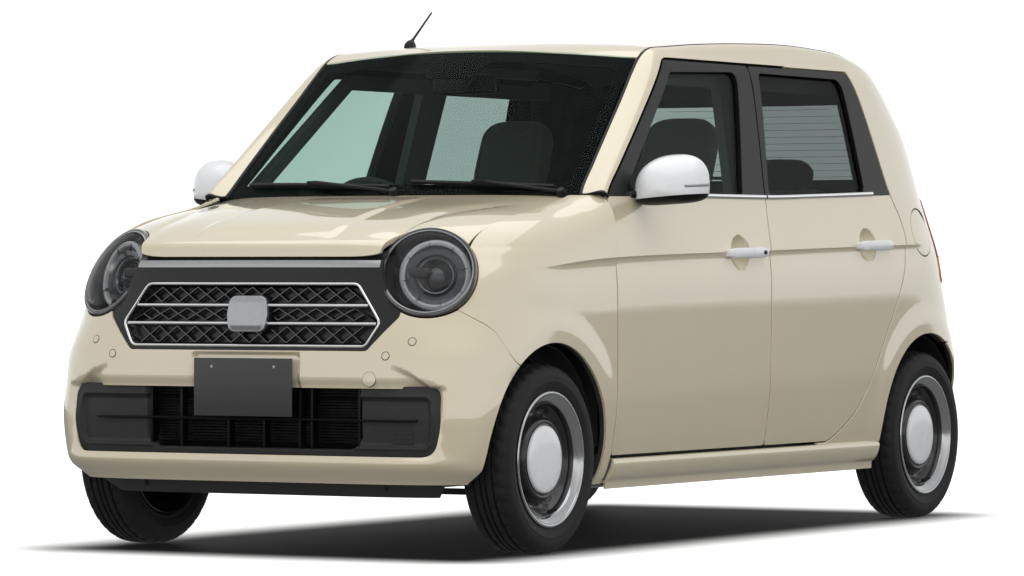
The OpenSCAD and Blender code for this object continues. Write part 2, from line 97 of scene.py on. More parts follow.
# ------------------------------------------------------------------ meshes
def emit(name, V, faces, mats, fm=None, N=None, body="body", repl=(), slot=None, smooth=True, sharp=None):
    """One Blender object from points, faces and a material index per face."""
    me = bpy.data.meshes.new(name)
    me.from_pydata([tuple(map(float, v)) for v in V], [], [tuple(map(int, f)) for f in faces])
    for m in (mats if isinstance(mats, (list, tuple)) else [mats]):
        me.materials.append(m)
    if fm is not None:
        me.polygons.foreach_set("material_index", np.asarray(fm, np.int32))
    me.validate(clean_customdata=False)
    me.update()
    if N is None:
        bm = bmesh.new()
        bm.from_mesh(me)
        bmesh.ops.recalc_face_normals(bm, faces=bm.faces)
        bm.to_mesh(me)
        bm.free()
    if smooth:
        me.polygons.foreach_set("use_smooth", np.ones(len(me.polygons), bool))
    if sharp is not None:
        me.set_sharp_from_angle(angle=math.radians(sharp))
    if N is not None and len(me.vertices) == len(N):
        me.normals_split_custom_set_from_vertices([tuple(map(float, n)) for n in N])
    o = bpy.data.objects.new(name, me)
    COL.objects.link(o)
    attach(o, body)
    if repl:
        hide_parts(*repl)
    return o


class Surf:
    """Open triangle sheet on a mapped surface: U parameters, F triangles."""
    def __init__(s, U, F, fmap, flip):
        s.U, s.F, s.fmap, s.flip = U, F, fmap, flip

    def points(s):
        return s.fmap(s.U[:, 0], s.U[:, 1])

    def normals(s, e=4e-4):
        u, v = s.U[:, 0], s.U[:, 1]
        a = s.fmap(u + e, v) - s.fmap(u - e, v)
        b = s.fmap(u, v + e) - s.fmap(u, v - e)
        n = unit(np.cross(a, b))
        return -n if s.flip else n

    def clip(s, func):
        """Keeps the part where func(points, U) > 0, cut along its zero line."""
        P = s.points()
        d = np.asarray(func(P, s.U), float)
        d = np.where(np.abs(d) < 1e-7, 1e-7, d)
        keep = d > 0
        F = s.F
        k = keep[F]
        cnt = k.sum(1)
        U = [s.U]
        out = [F[cnt == 3]]
        extra = {}
        newU = []
        base = len(s.U)

        def cut(i, j):
            key = (i, j) if i < j else (j, i)
            if key not in extra:
                a, b = key
                t = d[a] / (d[a] - d[b])
                ua, ub = s.U[a], s.U[b]
                lo, hi, dl = 0.0, 1.0, d[a]
                extra[key] = base + len(newU)
                newU.append((ua, ub, t, d[a]))
            return extra[key]
        tri = []
        for f, m in zip(F[(cnt == 1) | (cnt == 2)], k[(cnt == 1) | (cnt == 2)]):
            f = list(map(int, f))
            if m.sum() == 1:
                i = int(np.argmax(m))
                a, b, c = f[i], f[(i + 1) % 3], f[(i + 2) % 3]
                tri.append((a, cut(a, b), cut(a, c)))
            else:
                i = int(np.argmin(m))
                a, b, c = f[i], f[(i + 1) % 3], f[(i + 2) % 3]
                p, q = cut(a, b), cut(a, c)
                tri.append((p, b, c))
                tri.append((p, c, q))
        if newU:
            A = np.array([n[0] for n in newU])
            B = np.array([n[1] for n in newU])
            t = np.array([n[2] for n in newU])
            da = np.array([n[3] for n in newU])
            lo, hi = np.zeros_like(t), np.ones_like(t)
            for _ in range(7):
                M = A + (B - A) * t[:, None]
                dm = np.asarray(func(s.fmap(M[:, 0], M[:, 1]), M), float)
                same = (dm > 0) == (da > 0)
                lo = np.where(same, t, lo)
                hi = np.where(same, hi, t)
                t = (lo + hi) / 2
            U.append(A + (B - A) * t[:, None])
        Fn = np.vstack(out + ([np.array(tri, int)] if tri else [])).astype(int)
        Un = np.vstack(U)
        used = np.unique(Fn)
        remap = -np.ones(len(Un), int)
        remap[used] = np.arange(len(used))
        return Surf(Un[used], remap[Fn], s.fmap, s.flip)


def sheet(us, vs, fmap, flip=False):
    us, vs = np.asarray(us, float), np.asarray(vs, float)
    U = np.stack(np.meshgrid(us, vs, indexing="ij"), -1).reshape(-1, 2)
    n = len(vs)
    i, j = np.meshgrid(np.arange(len(us) - 1), np.arange(n - 1), indexing="ij")
    a = (i * n + j).ravel()
    b, c, d = a + n, a + n + 1, a + 1
    odd = ((i + j) % 2).ravel() == 1
    F = np.vstack([np.where(odd[:, None], np.stack([a, b, d], 1), np.stack([a, b, c], 1)),
                   np.where(odd[:, None], np.stack([b, c, d], 1), np.stack([a, c, d], 1))])
    if flip:
        F = F[:, ::-1]
    return Surf(U, F, fmap, flip)


GRID = 1.0  # coarseness of the grids, set section by section


def steps(a, b, h):
    return np.linspace(a, b, max(2, int(round(abs(b - a) / (h * GRID))) + 1))


def shell(S, depth, r=0.0018, inward=None, trim=1, rim_keep=1.0):
    """Closed panel from an open sheet: rounded edge, rim, inner skin. Returns V, faces, material index, normals."""
    P, N = S.points(), S.normals()
    n = len(P)
    E = np.vstack([S.F[:, [0, 1]], S.F[:, [1, 2]], S.F[:, [2, 0]]])
    code = E[:, 0] * n + E[:, 1]
    rev = E[:, 1] * n + E[:, 0]
    E = E[~np.isin(code, rev)]
    B = np.zeros((n, 3))
    ev = P[E[:, 1]] - P[E[:, 0]]
    out = np.cross(ev, N[E[:, 0]] + N[E[:, 1]])
    np.add.at(B, E[:, 0], out)
    np.add.at(B, E[:, 1], out)
    rim = np.unique(E)
    idx = -np.ones(n, int)
    idx[rim] = np.arange(len(rim))
    Br, Nr, Pr = unit(B[rim]), N[rim], P[rim]
    if inward is None:
        D = -N * depth
    else:
        D = inward(P, N) if callable(inward) else np.tile(np.asarray(inward, float), (n, 1)) * depth
    Dr = D[rim]
    m = len(rim)
    rings = [Pr + Br * r * 0.5 - Nr * r * 0.134, Pr + Br * r * 0.866 - Nr * r * 0.5, Pr + Br * r - Nr * r,
             Pr + Br * r + Dr * 0.35 - Nr * 0, Pr + Br * r + Dr]
    rn = [unit(Br * .5 + Nr * .866), unit(Br * .866 + Nr * .5), Br, Br, unit(Br + unit(Dr) * .3)]
    V = np.vstack([P] + rings + [P + D])
    NN = np.vstack([N] + rn + [-N])
    k = len(rings)
    faces = [tuple(f) for f in S.F]
    fm = [0] * len(faces)
    inner = n + k * m
    for f in S.F:
        faces.append((inner + f[2], inner + f[1], inner + f[0]))
    fm += [trim] * len(S.F)
    ia, ib = idx[E[:, 0]], idx[E[:, 1]]
    prev_a, prev_b = E[:, 0], E[:, 1]
    for q in range(k + 1):
        if q < k:
            na, nb = n + q * m + ia, n + q * m + ib
        else:
            na, nb = inner + E[:, 0], inner + E[:, 1]
        for a, b, c, d in zip(prev_b, prev_a, na, nb):
            faces.append((a, b, c, d))
        # The two deepest rim bands and the inner skin take the trim material. Where that is dark, it darkens the panel
        # gaps: painted shade, standing in partly for black seals.
        fm += [0 if q < k - 1 or rim_keep > 1 else trim] * len(E)
        prev_a, prev_b = na, nb
    return V, faces, fm, NN


def flipx(V, faces, N=None):
    W = np.array(V, float).copy()
    W[:, 0] *= -1
    f = [tuple(reversed(q)) for q in faces]
    if N is None:
        return W, f, None
    M = np.array(N, float).copy()
    M[:, 0] *= -1
    return W, f, M


def pair(name, data, mats, bodies=("body", "body"), repl=((), ()), slot=None, **kw):
    """The left piece and its mirror image."""
    V, faces, fm, N = data
    a = emit(name + "_left", V, faces, mats, fm, N, bodies[0], repl[0], slot, **kw)
    W, f2, M = flipx(V, faces, N)
    b = emit(name + "_right", W, f2, mats, fm, M, bodies[1], repl[1], slot, **kw)
    return a, b


def poly_sdf(poly):
    """Signed distance to a closed outline, positive inside."""
    Q = np.asarray(poly, float)
    A, B = Q, np.roll(Q, -1, 0)

    def f(p, q):
        p, q = np.asarray(p, float), np.asarray(q, float)
        best = np.full(p.shape, 1e9)
        inside = np.zeros(p.shape, bool)
        for (ax, ay), (bx, by) in zip(A, B):
            ex, ey = bx - ax, by - ay
            L = ex * ex + ey * ey
            if L < 1e-14:
                continue
            t = np.clip(((p - ax) * ex + (q - ay) * ey) / L, 0, 1)
            best = np.minimum(best, (p - ax - t * ex) ** 2 + (q - ay - t * ey) ** 2)
            if abs(by - ay) > 1e-12:
                hit = ((ay > q) != (by > q)) & (p < ex * (q - ay) / (by - ay) + ax)
                inside ^= hit
        d = np.sqrt(best)
        return np.where(inside, d, -d)
    return f


def rounded(poly, rad, n=7):
    """Outline with its corners rounded; rad is one radius or one per corner."""
    Q = [np.asarray(p, float) for p in poly]
    out = []
    for i, p in enumerate(Q):
        r = rad[i] if isinstance(rad, (list, tuple)) else rad
        a, b = unit(Q[i - 1] - p), unit(Q[(i + 1) % len(Q)] - p)
        c = float(np.clip(a @ b, -1, 1))
        ang = math.acos(c)
        if r <= 0 or ang > math.pi - .02:
            out.append(p)
            continue
        t = min(r / math.tan(ang / 2), .49 * np.linalg.norm(Q[i - 1] - p), .49 * np.linalg.norm(Q[(i + 1) % len(Q)] - p))
        p0, p1 = p + a * t, p + b * t
        for k in range(n + 1):
            s = k / n
            out.append((1 - s) ** 2 * p0 + 2 * s * (1 - s) * p * 1 + s * s * p1)
    return np.array(out)


def revolve(profile, seg, axis_o, axis, up, closed=False, a0=0.0, a1=2 * math.pi):
    """Ring mesh from [radius, height along axis] points."""
    prof = np.asarray(profile, float)
    w = unit(np.asarray(axis, float))
    u = np.asarray(up, float)
    u = unit(u - w * (u @ w))
    v = np.cross(w, u)
    th = np.linspace(a0, a1, seg, endpoint=False)
    rings = [np.asarray(axis_o, float) + p[1] * w + p[0] * (np.cos(th)[:, None] * u + np.sin(th)[:, None] * v) for p in prof]
    V = np.vstack(rings)
    faces = []
    m = len(prof)
    for i in range(m if closed else m - 1):
        k = (i + 1) % m
        for j in range(seg):
            j2 = (j + 1) % seg
            faces.append((i * seg + j, i * seg + j2, k * seg + j2, k * seg + j))
    return V, faces


def merge(parts):
    """Joins (V, faces, material) lists into one."""
    V, F, M = [], [], []
    o = 0
    for v, f, m in parts:
        v = np.asarray(v, float)
        V.append(v)
        F += [tuple(i + o for i in q) for q in f]
        M += [m] * len(f) if np.isscalar(m) else list(m)
        o += len(v)
    return np.vstack(V), F, M


def sweep(path, section, up=(0, 0, 1), caps=True, closed=False, frames=None):
    """Tube of one closed section [a, b] along a path; a along side, b along up."""
    P = np.asarray(path, float)
    n = len(P)
    T = unit(np.roll(P, -1, 0) - np.roll(P, 1, 0)) if closed else unit(np.gradient(P, axis=0))
    if frames is None:
        U = np.tile(np.asarray(up, float), (n, 1)) if np.ndim(up) == 1 else np.asarray(up, float)
        S = unit(np.cross(T, U))
        U = np.cross(S, T)
    else:
        S, U = frames
    sec = np.asarray(section, float)
    m = len(sec)
    V = (P[:, None] + sec[None, :, 0, None] * S[:, None] + sec[None, :, 1, None] * U[:, None]).reshape(-1, 3)
    F = []
    for i in range(n if closed else n - 1):
        k = (i + 1) % n
        for j in range(m):
            j2 = (j + 1) % m
            F.append((i * m + j, i * m + j2, k * m + j2, k * m + j))
    if caps and not closed:
        F.append(tuple(range(m - 1, -1, -1)))
        F.append(tuple((n - 1) * m + j for j in range(m)))
    return V, F


def circle(r, n=16, ry=None):
    a = np.linspace(0, 2 * math.pi, n, endpoint=False)
    return np.stack([r * np.cos(a), (ry or r) * np.sin(a)], 1)


def rbox(lo, hi, r=0.004, n=3):
    """Box with rounded edges, as a closed mesh."""
    lo, hi = np.asarray(lo, float), np.asarray(hi, float)
    r = min(r, *(0.49 * (hi - lo)))
    me = bpy.data.meshes.new("tmp")
    bm = bmesh.new()
    bmesh.ops.create_cube(bm, size=1)
    for v in bm.verts:
        v.co = Vector(((lo + hi) / 2 + np.array(v.co) * (hi - lo)).tolist())
    bmesh.ops.bevel(bm, geom=list(bm.edges), offset=r, segments=n, profile=.5, affect="EDGES", clamp_overlap=True)
    bm.verts.index_update()
    V = np.array([v.co[:] for v in bm.verts])
    F = [tuple(v.index for v in f.verts) for f in bm.faces]
    bm.free()
    bpy.data.meshes.remove(me)
    return V, F


def turned(V, axis_o, x, y, z):
    """Points of a local frame put in the car's frame."""
    M = np.stack([np.asarray(x, float), np.asarray(y, float), np.asarray(z, float)])
    return np.asarray(axis_o, float) + np.asarray(V, float) @ M


# ------------------------------------------------------------------ materials
def mat(name, color, rough=.5, metal=0.0, coat=0.0, coat_rough=.03, spec=.5, var=.04, rvar=.05, scale=40.0,
        bump=0.0, bscale=400.0, bdist=.001, sheen=0.0, kind="noise", dark=None, emis=None, coat_ior=1.5):
    m = bpy.data.materials.new(name)
    m.use_nodes = True
    nt = m.node_tree
    b = nt.nodes["Principled BSDF"]
    L = nt.links
    co = nt.nodes.new("ShaderNodeTexCoord")
    nz = nt.nodes.new("ShaderNodeTexNoise")
    nz.inputs["Scale"].default_value = scale
    nz.inputs["Detail"].default_value = 4
    L.new(co.outputs["Object"], nz.inputs["Vector"])
    cr = nt.nodes.new("ShaderNodeValToRGB")
    c = np.array(color, float)
    d = np.array(dark, float) if dark is not None else c * (1 - var)
    cr.color_ramp.elements[0].color = (*np.clip(d, 0, 1), 1)
    cr.color_ramp.elements[1].color = (*np.clip(c * (1 + var * .5), 0, 1), 1)
    cr.color_ramp.elements[0].position = .3
    cr.color_ramp.elements[1].position = .7
    L.new(nz.outputs["Fac"], cr.inputs["Fac"])
    L.new(cr.outputs["Color"], b.inputs["Base Color"])
    if rvar > 0:
        mr = nt.nodes.new("ShaderNodeMapRange")
        mr.inputs["To Min"].default_value = max(0, rough - rvar)
        mr.inputs["To Max"].default_value = min(1, rough + rvar)
        L.new(nz.outputs["Fac"], mr.inputs["Value"])
        L.new(mr.outputs["Result"], b.inputs["Roughness"])
    else:
        b.inputs["Roughness"].default_value = rough
    b.inputs["Metallic"].default_value = metal
    b.inputs["Coat Weight"].default_value = coat
    b.inputs["Coat Roughness"].default_value = coat_rough
    b.inputs["Coat IOR"].default_value = coat_ior
    b.inputs["Specular IOR Level"].default_value = spec
    if sheen:
        b.inputs["Sheen Weight"].default_value = sheen
        b.inputs["Sheen Roughness"].default_value = .5
    if emis:
        b.inputs["Emission Color"].default_value = (*emis[:3], 1)
        b.inputs["Emission Strength"].default_value = emis[3]
    if bump > 0:
        bp = nt.nodes.new("ShaderNodeBump")
        bp.inputs["Strength"].default_value = bump
        bp.inputs["Distance"].default_value = bdist
        if kind == "grain":
            t = nt.nodes.new("ShaderNodeTexVoronoi")
            t.inputs["Scale"].default_value = bscale
            L.new(co.outputs["Object"], t.inputs["Vector"])
            L.new(t.outputs["Distance"], bp.inputs["Height"])
        elif kind == "weave":
            w1 = nt.nodes.new("ShaderNodeTexWave")
            w2 = nt.nodes.new("ShaderNodeTexWave")
            for w, dr in ((w1, "X"), (w2, "Z")):
                w.bands_direction = dr
                w.inputs["Scale"].default_value = bscale
                w.inputs["Distortion"].default_value = .6
                L.new(co.outputs["Object"], w.inputs["Vector"])
            mx = nt.nodes.new("ShaderNodeMath")
            mx.operation = "MAXIMUM"
            L.new(w1.outputs["Fac"], mx.inputs[0])
            L.new(w2.outputs["Fac"], mx.inputs[1])
            L.new(mx.outputs[0], bp.inputs["Height"])
        else:
            t = nt.nodes.new("ShaderNodeTexNoise")
            t.inputs["Scale"].default_value = bscale
            t.inputs["Detail"].default_value = 3
            L.new(co.outputs["Object"], t.inputs["Vector"])
            L.new(t.outputs["Fac"], bp.inputs["Height"])
        L.new(bp.outputs["Normal"], b.inputs["Normal"])
    return m


def glass(name, tint, gloss=1.0, ior=1.5):
    """Thin glass: a tinted see-through film with a Fresnel reflection."""
    m = bpy.data.materials.new(name)
    m.use_nodes = True
    nt = m.node_tree
    nt.nodes.remove(nt.nodes["Principled BSDF"])
    out = nt.nodes["Material Output"]
    tr = nt.nodes.new("ShaderNodeBsdfTransparent")
    tr.inputs["Color"].default_value = (*tint, 1)
    gl = nt.nodes.new("ShaderNodeBsdfGlossy")
    gl.inputs["Color"].default_value = (gloss, gloss, gloss, 1)
    gl.inputs["Roughness"].default_value = .005
    fr = nt.nodes.new("ShaderNodeLayerWeight")
    fr.inputs["Blend"].default_value = .5
    pw = nt.nodes.new("ShaderNodeMath")
    pw.operation = "POWER"
    pw.inputs[1].default_value = 5.0
    ma = nt.nodes.new("ShaderNodeMath")
    ma.operation = "MULTIPLY_ADD"
    ma.inputs[1].default_value = .55
    ma.inputs[2].default_value = .5 * ((ior - 1) / (ior + 1)) ** 2
    nt.links.new(fr.outputs["Facing"], pw.inputs[0])
    nt.links.new(pw.outputs[0], ma.inputs[0])
    mx = nt.nodes.new("ShaderNodeMixShader")
    nt.links.new(ma.outputs[0], mx.inputs[0])
    nt.links.new(tr.outputs[0], mx.inputs[1])
    nt.links.new(gl.outputs[0], mx.inputs[2])
    nt.links.new(mx.outputs[0], out.inputs["Surface"])
    return m


PAINT = mat("paint_cream", (.665, .588, .415), rough=.36, coat=1.0, coat_rough=.02, coat_ior=2.0, var=.012, rvar=.03, scale=9, bump=.012, bscale=900, bdist=.0004)
INNER = mat("paint_inner", (.60, .54, .42), rough=.55, var=.04, scale=14)
BLACK = mat("satin_black", (.0065, .0065, .0072), rough=.36, spec=.20, var=.15, rvar=.06, scale=60, bump=.05, bscale=1200, bdist=.0003)
GLOSSB = mat("gloss_black", (.010, .010, .011), rough=.12, coat=1.0, var=.1, rvar=.03, scale=20)
SMOKE = mat("smoke_panel", (.010, .0102, .011), rough=.30, spec=.30, coat=.22, coat_rough=.06, var=.08, rvar=.03, scale=24, bump=.03, bscale=700, bdist=.0003)
PLASTIC = mat("black_plastic", (.022, .022, .023), rough=.58, var=.18, rvar=.07, scale=90, bump=.25, bscale=1400, bdist=.0004, kind="grain")
RUBBER = mat("seal_rubber", (.012, .012, .012), rough=.65, var=.2, scale=50, bump=.1, bscale=900, bdist=.0003)
CHROME = mat("chrome", (.83, .84, .85), rough=.09, metal=1.0, var=.03, rvar=.03, scale=30)
SATIN = mat("satin_silver", (.42, .43, .44), rough=.30, metal=.85, var=.05, rvar=.05, scale=60)
WHITE = mat("white_trim", (.80, .815, .83), rough=.28, coat=.7, var=.015, rvar=.03, scale=15, bump=.01, bscale=700, bdist=.0003)
TYRE = mat("tyre_rubber", (.0145, .0145, .0155), rough=.62, spec=.25, var=.25, rvar=.08, scale=55, bump=.22, bscale=1100, bdist=.0005)
WHEELB = mat("wheel_black", (.012, .012, .013), rough=.30, coat=.4, var=.15, rvar=.05, scale=40, bump=.04, bscale=900, bdist=.0003)
CHASSIS = mat("chassis_black", (.020, .020, .021), rough=.62, var=.35, rvar=.1, scale=22, bump=.25, bscale=260, bdist=.0008)
UNDER = mat("underbody_coat", (.045, .045, .044), rough=.75, var=.35, rvar=.1, scale=14, bump=.35, bscale=180, bdist=.0012)
ENGINE = mat("cast_metal", (.20, .20, .205), rough=.5, metal=.7, var=.3, rvar=.12, scale=30, bump=.3, bscale=240, bdist=.0008)
STEEL = mat("exhaust_steel", (.42, .40, .38), rough=.38, metal=.9, var=.25, rvar=.14, scale=16, bump=.08, bscale=300, bdist=.0004)
CARPET = mat("carpet", (.030, .030, .031), rough=.95, var=.45, scale=500, bump=.7, bscale=900, bdist=.002, sheen=.3)
CLOTH = mat("seat_cloth", (.115, .105, .098), rough=.9, var=.3, scale=300, bump=.55, bscale=420, bdist=.0007, sheen=.25, kind="weave")
CLOTH2 = mat("seat_cloth_light", (.36, .33, .29), rough=.92, var=.2, scale=260, bump=.5, bscale=420, bdist=.0007, sheen=.25, kind="weave")
HEADLN = mat("headliner", (.17, .165, .155), rough=.95, var=.08, scale=300, bump=.3, bscale=700, bdist=.0008, sheen=.2)
DASH = mat("dash_soft", (.020, .020, .021), rough=.68, var=.2, scale=70, bump=.4, bscale=900, bdist=.0005, kind="grain")
TRIMG = mat("trim_grey", (.10, .10, .10), rough=.6, var=.15, scale=70, bump=.35, bscale=1000, bdist=.0004, kind="grain")
PLATE = mat("plate_blank", (.043, .043, .045), rough=.42, var=.06, rvar=.05, scale=30, bump=.05, bscale=500, bdist=.0003)
REDL = mat("lamp_red", (.33, .004, .007), rough=.10, spec=.3, coat=.8, var=.2, rvar=.03, scale=300, bump=.12, bscale=260, bdist=.0015, kind="grain")
AMBER = mat("lamp_amber", (.62, .20, .02), rough=.12, coat=1.0, var=.15, rvar=.03, scale=200, bump=.4, bscale=260, bdist=.0012, kind="grain")
LAMPG = mat("lamp_ring", (.34, .345, .35), rough=.32, coat=.5, var=.05, rvar=.04, scale=50)
LAMPD = mat("lamp_dark", (.030, .031, .033), rough=.22, metal=.3, coat=.5, var=.12, rvar=.05, scale=80)
LAMPR = mat("lamp_reflector", (.16, .165, .17), rough=.18, metal=.85, var=.06, rvar=.04, scale=60)
GLASSF = glass("glass_front", (.74, .81, .785), .30)
GLASSW = glass("glass_screen", (.78, .875, .845), .16)
GLASSR = glass("glass_rear", (.62, .652, .647), .30)
BORDER = mat("screen_border", (.004, .004, .0045), rough=.85, spec=.05, var=.2, scale=40)
RINGM = mat("trim_ring", (.50, .51, .52), rough=.17, metal=1.0, var=.04, rvar=.04, scale=40)
LENS = glass("lamp_lens", (.965, .97, .975), .6, ior=1.45)
MIRRORG = mat("mirror_glass", (.75, .77, .78), rough=.03, metal=1.0, var=.01, rvar=.01, scale=10)

# ------------------------------------------------------------------ stage, light, camera
sc = bpy.context.scene


def stage_plane(name, size, z, m):
    me = bpy.data.meshes.new(name)
    n = 2
    me.from_pydata([(-size, -size, z), (size, -size, z), (size, size, z), (-size, size, z)], [], [(0, 1, 2, 3)])
    me.materials.append(m)
    o = bpy.data.objects.new(name, me)
    COL.objects.link(o)
    return o


FLOORM = mat("studio_floor", (.95, .95, .945), rough=.62, spec=.02, var=.008, rvar=.03, scale=1.5, emis=(1, 1, 1, .05))
nt = FLOORM.node_tree
fco = nt.nodes.new("ShaderNodeTexCoord")
fln = nt.nodes.new("ShaderNodeVectorMath")
fln.operation = "LENGTH"
fmr = nt.nodes.new("ShaderNodeMapRange")
for k_, v_ in (("From Min", 3.2), ("From Max", 9.0), ("To Min", .52), ("To Max", 1.0)):
    fmr.inputs[k_].default_value = v_
nt.links.new(fco.outputs["Object"], fln.inputs[0])
nt.links.new(fln.outputs["Value"], fmr.inputs["Value"])
nt.links.new(fmr.outputs["Result"], nt.nodes["Principled BSDF"].inputs["Emission Strength"])
# Painted shadow: in a soft-edged box under the car's footprint, the floor's colour and glow fall to near black. This
# dark patch is painted on, not cast.
fsp = nt.nodes.new("ShaderNodeSeparateXYZ")
nt.links.new(fco.outputs["Object"], fsp.inputs[0])
shadow_footprint_offset = nt.nodes.new("ShaderNodeCombineXYZ")
for k_, h_ in (("X", .60), ("Y", 1.50)):
    ab = nt.nodes.new("ShaderNodeMath")
    ab.operation = "ABSOLUTE"
    nt.links.new(fsp.outputs[k_], ab.inputs[0])
    sb = nt.nodes.new("ShaderNodeMath")
    sb.operation = "SUBTRACT"
    sb.inputs[1].default_value = h_
    nt.links.new(ab.outputs[0], sb.inputs[0])
    mx_ = nt.nodes.new("ShaderNodeMath")
    mx_.operation = "MAXIMUM"
    mx_.inputs[1].default_value = 0.0
    nt.links.new(sb.outputs[0], mx_.inputs[0])
    nt.links.new(mx_.outputs[0], shadow_footprint_offset.inputs[k_])
shadow_footprint_distance = nt.nodes.new("ShaderNodeVectorMath")
shadow_footprint_distance.operation = "LENGTH"
nt.links.new(shadow_footprint_offset.outputs[0], shadow_footprint_distance.inputs[0])
# painted shadow colour: near black under the car, easing out to the floor's pale colour
painted_shadow_ramp = nt.nodes.new("ShaderNodeValToRGB")
painted_shadow_ramp.color_ramp.interpolation = "EASE"
painted_shadow_ramp.color_ramp.elements[0].position, painted_shadow_ramp.color_ramp.elements[0].color = 0.0, (.013, .013, .013, 1)
painted_shadow_ramp.color_ramp.elements[1].position, painted_shadow_ramp.color_ramp.elements[1].color = .40, (.95, .95, .945, 1)
nt.links.new(shadow_footprint_distance.outputs["Value"], painted_shadow_ramp.inputs["Fac"])
nt.links.new(painted_shadow_ramp.outputs["Color"], nt.nodes["Principled BSDF"].inputs["Base Color"])
nt.links.new(painted_shadow_ramp.outputs["Color"], nt.nodes["Principled BSDF"].inputs["Emission Color"])
floor = stage_plane("studio_floor", 900, -.0006, FLOORM)
floor.visible_glossy = False
floor.visible_diffuse = False

w = bpy.data.worlds.new("studio")
sc.world = w
w.use_nodes = True
nt = w.node_tree
bg = nt.nodes["Background"]
tc = nt.nodes.new("ShaderNodeTexCoord")
sx = nt.nodes.new("ShaderNodeSeparateXYZ")
cr = nt.nodes.new("ShaderNodeValToRGB")
mr = nt.nodes.new("ShaderNodeMapRange")
mr.inputs["From Min"].default_value = -1
mr.inputs["From Max"].default_value = 1
nt.links.new(tc.outputs["Generated"], sx.inputs[0])
nt.links.new(sx.outputs["Z"], mr.inputs["Value"])
nt.links.new(mr.outputs["Result"], cr.inputs["Fac"])
nt.links.new(cr.outputs["Color"], bg.inputs["Color"])
els = cr.color_ramp.elements
els[0].position, els[0].color = 0.0, (.17, .167, .163, 1)
els[1].position, els[1].color = 1.0, (.55, .55, .55, 1)
for p, c in ((.4985, .19), (.4992, .36), (.4996, 1.0), (.56, 1.0), (.66, .70), (.80, .55)):
    e = els.new(p)
    e.color = (c, c, c, 1)
bg.inputs["Strength"].default_value = 1.16


def area(name, loc, target, size, size_y, power, cam=False):
    d = bpy.data.lights.new(name, "AREA")
    d.shape = "RECTANGLE"
    d.size, d.size_y, d.energy = size, size_y, power
    o = bpy.data.objects.new(name, d)
    o.location = loc
    o.rotation_euler = (Vector(target) - Vector(loc)).to_track_quat("-Z", "Y").to_euler()
    o.visible_camera = cam
    COL.objects.link(o)
    return o


area("top_softbox", (0.6, -0.6, 5.2), (0, 0, .6), 7.0, 9.0, 178)
area("front_softbox", (3.6, -8.3, 1.5), (0, -.4, .55), 5.0, 2.4, 105).visible_glossy = False

yaw, pit = math.radians(29.554824), math.radians(.2017687)
cam = bpy.data.objects.new("camera", bpy.data.cameras.new("camera"))
COL.objects.link(cam)
cam.location = (7.87462946, -13.98345883, .81929329)
back = Vector((math.sin(yaw) * math.cos(pit), -math.cos(yaw) * math.cos(pit), math.sin(pit)))
rgt = Vector((math.cos(yaw), math.sin(yaw), 0))
upv = back.cross(rgt)
M = Matrix((rgt, upv, back)).transposed().to_4x4()
M.translation = Vector(cam.location)
cam.matrix_world = M
cam.data.sensor_width = 36
cam.data.lens = 5127.10 / 1024 * 36
cam.data.shift_x = (512 - 521.4437) / 1024
cam.data.shift_y = (286.66875 - 288) / 1024
cam.data.clip_end = 3000
sc.camera = cam
sc.view_settings.view_transform = "Standard"
sc.view_settings.look = "None"

# ------------------------------------------------------------------ body surfaces
AXF, AXR, WZ, ARCH = -1.203, 1.317, .274, .335
# body side: [height, half width]
A = Spline([(.17, .668), (.20, .690), (.25, .7105), (.30, .7215), (.37, .7295), (.46, .7350), (.60, .7370), (.74, .7376), (.82, .7364),
            (.88, .7300), (.94, .7170), (1.0, .7030), (1.05, .6915), (1.2, .662), (1.32, .6375), (1.40, .6180), (1.44, .6030), (1.47, .5835), (1.50, .5500)])
NOSE_D = Curve([(.17, .640), (.20, .660), (.25, .676), (.30, .690), (.42, .6975), (.55, .690), (.60, .686), (.70, .675), (.80, .660), (.86, .645), (.90, .610)])
NOSE_N = Curve([(.17, 6.0), (.30, 6.9), (.379, 6.9), (.495, 6.07), (.567, 5.75), (.617, 5.03), (.667, 4.40), (.718, 4.0), (.758, 3.88), (.801, 3.68), (.851, 3.28), (.95, 3.1)])
TAIL_D = Curve([(.17, .640), (.20, .660), (.30, .690), (.42, .6975), (.506, .6975), (.65, .675), (.80, .650), (1.055, .600), (1.236, .545), (1.356, .490), (1.465, .420), (1.51, .392)])
TAIL_N = Curve([(.17, 6), (.20, 6), (.30, 7), (.42, 7.2), (.506, 7.0), (.65, 6.0), (.80, 5), (1.055, 4.3), (1.236, 4.1), (1.356, 3.4), (1.465, 2.95), (1.51, 2.8)])
DECK = Spline([(-1.66, .862), (-1.64, .880), (-1.62, .893), (-1.56, .925), (-1.50, .946), (-1.40, .969), (-1.30, .988), (-1.10, 1.016), (-.95, 1.038), (-.83, 1.058)])
DECK_N = Curve([(-1.64, 5.8), (-1.3, 5.8), (-1.1, 6.0), (-.95, 7.0), (-.83, 9.0)])
CREASE = Curve([(-1.40, .806), (-1.259, .821), (-.882, .850), (.10, .8735), (1.151, .896), (1.45, .901)])
LOWCR = Curve([(-.95, .425), (-.866, .427), (.863, .473), (1.0, .477)])


def plan(y, z):
    f = sup(np.maximum(0, -1 - y) / NOSE_D(z), NOSE_N(z))
    r = sup(np.maximum(0, y - 1) / TAIL_D(z), TAIL_N(z))
    return np.where(y < 0, f, r)


def arch_lip(y, z):
    r = np.minimum(np.hypot(y - AXF, z - WZ), np.hypot(y - AXR, z - WZ))
    return .0035 * (1 - sstep(.368, .440, r))


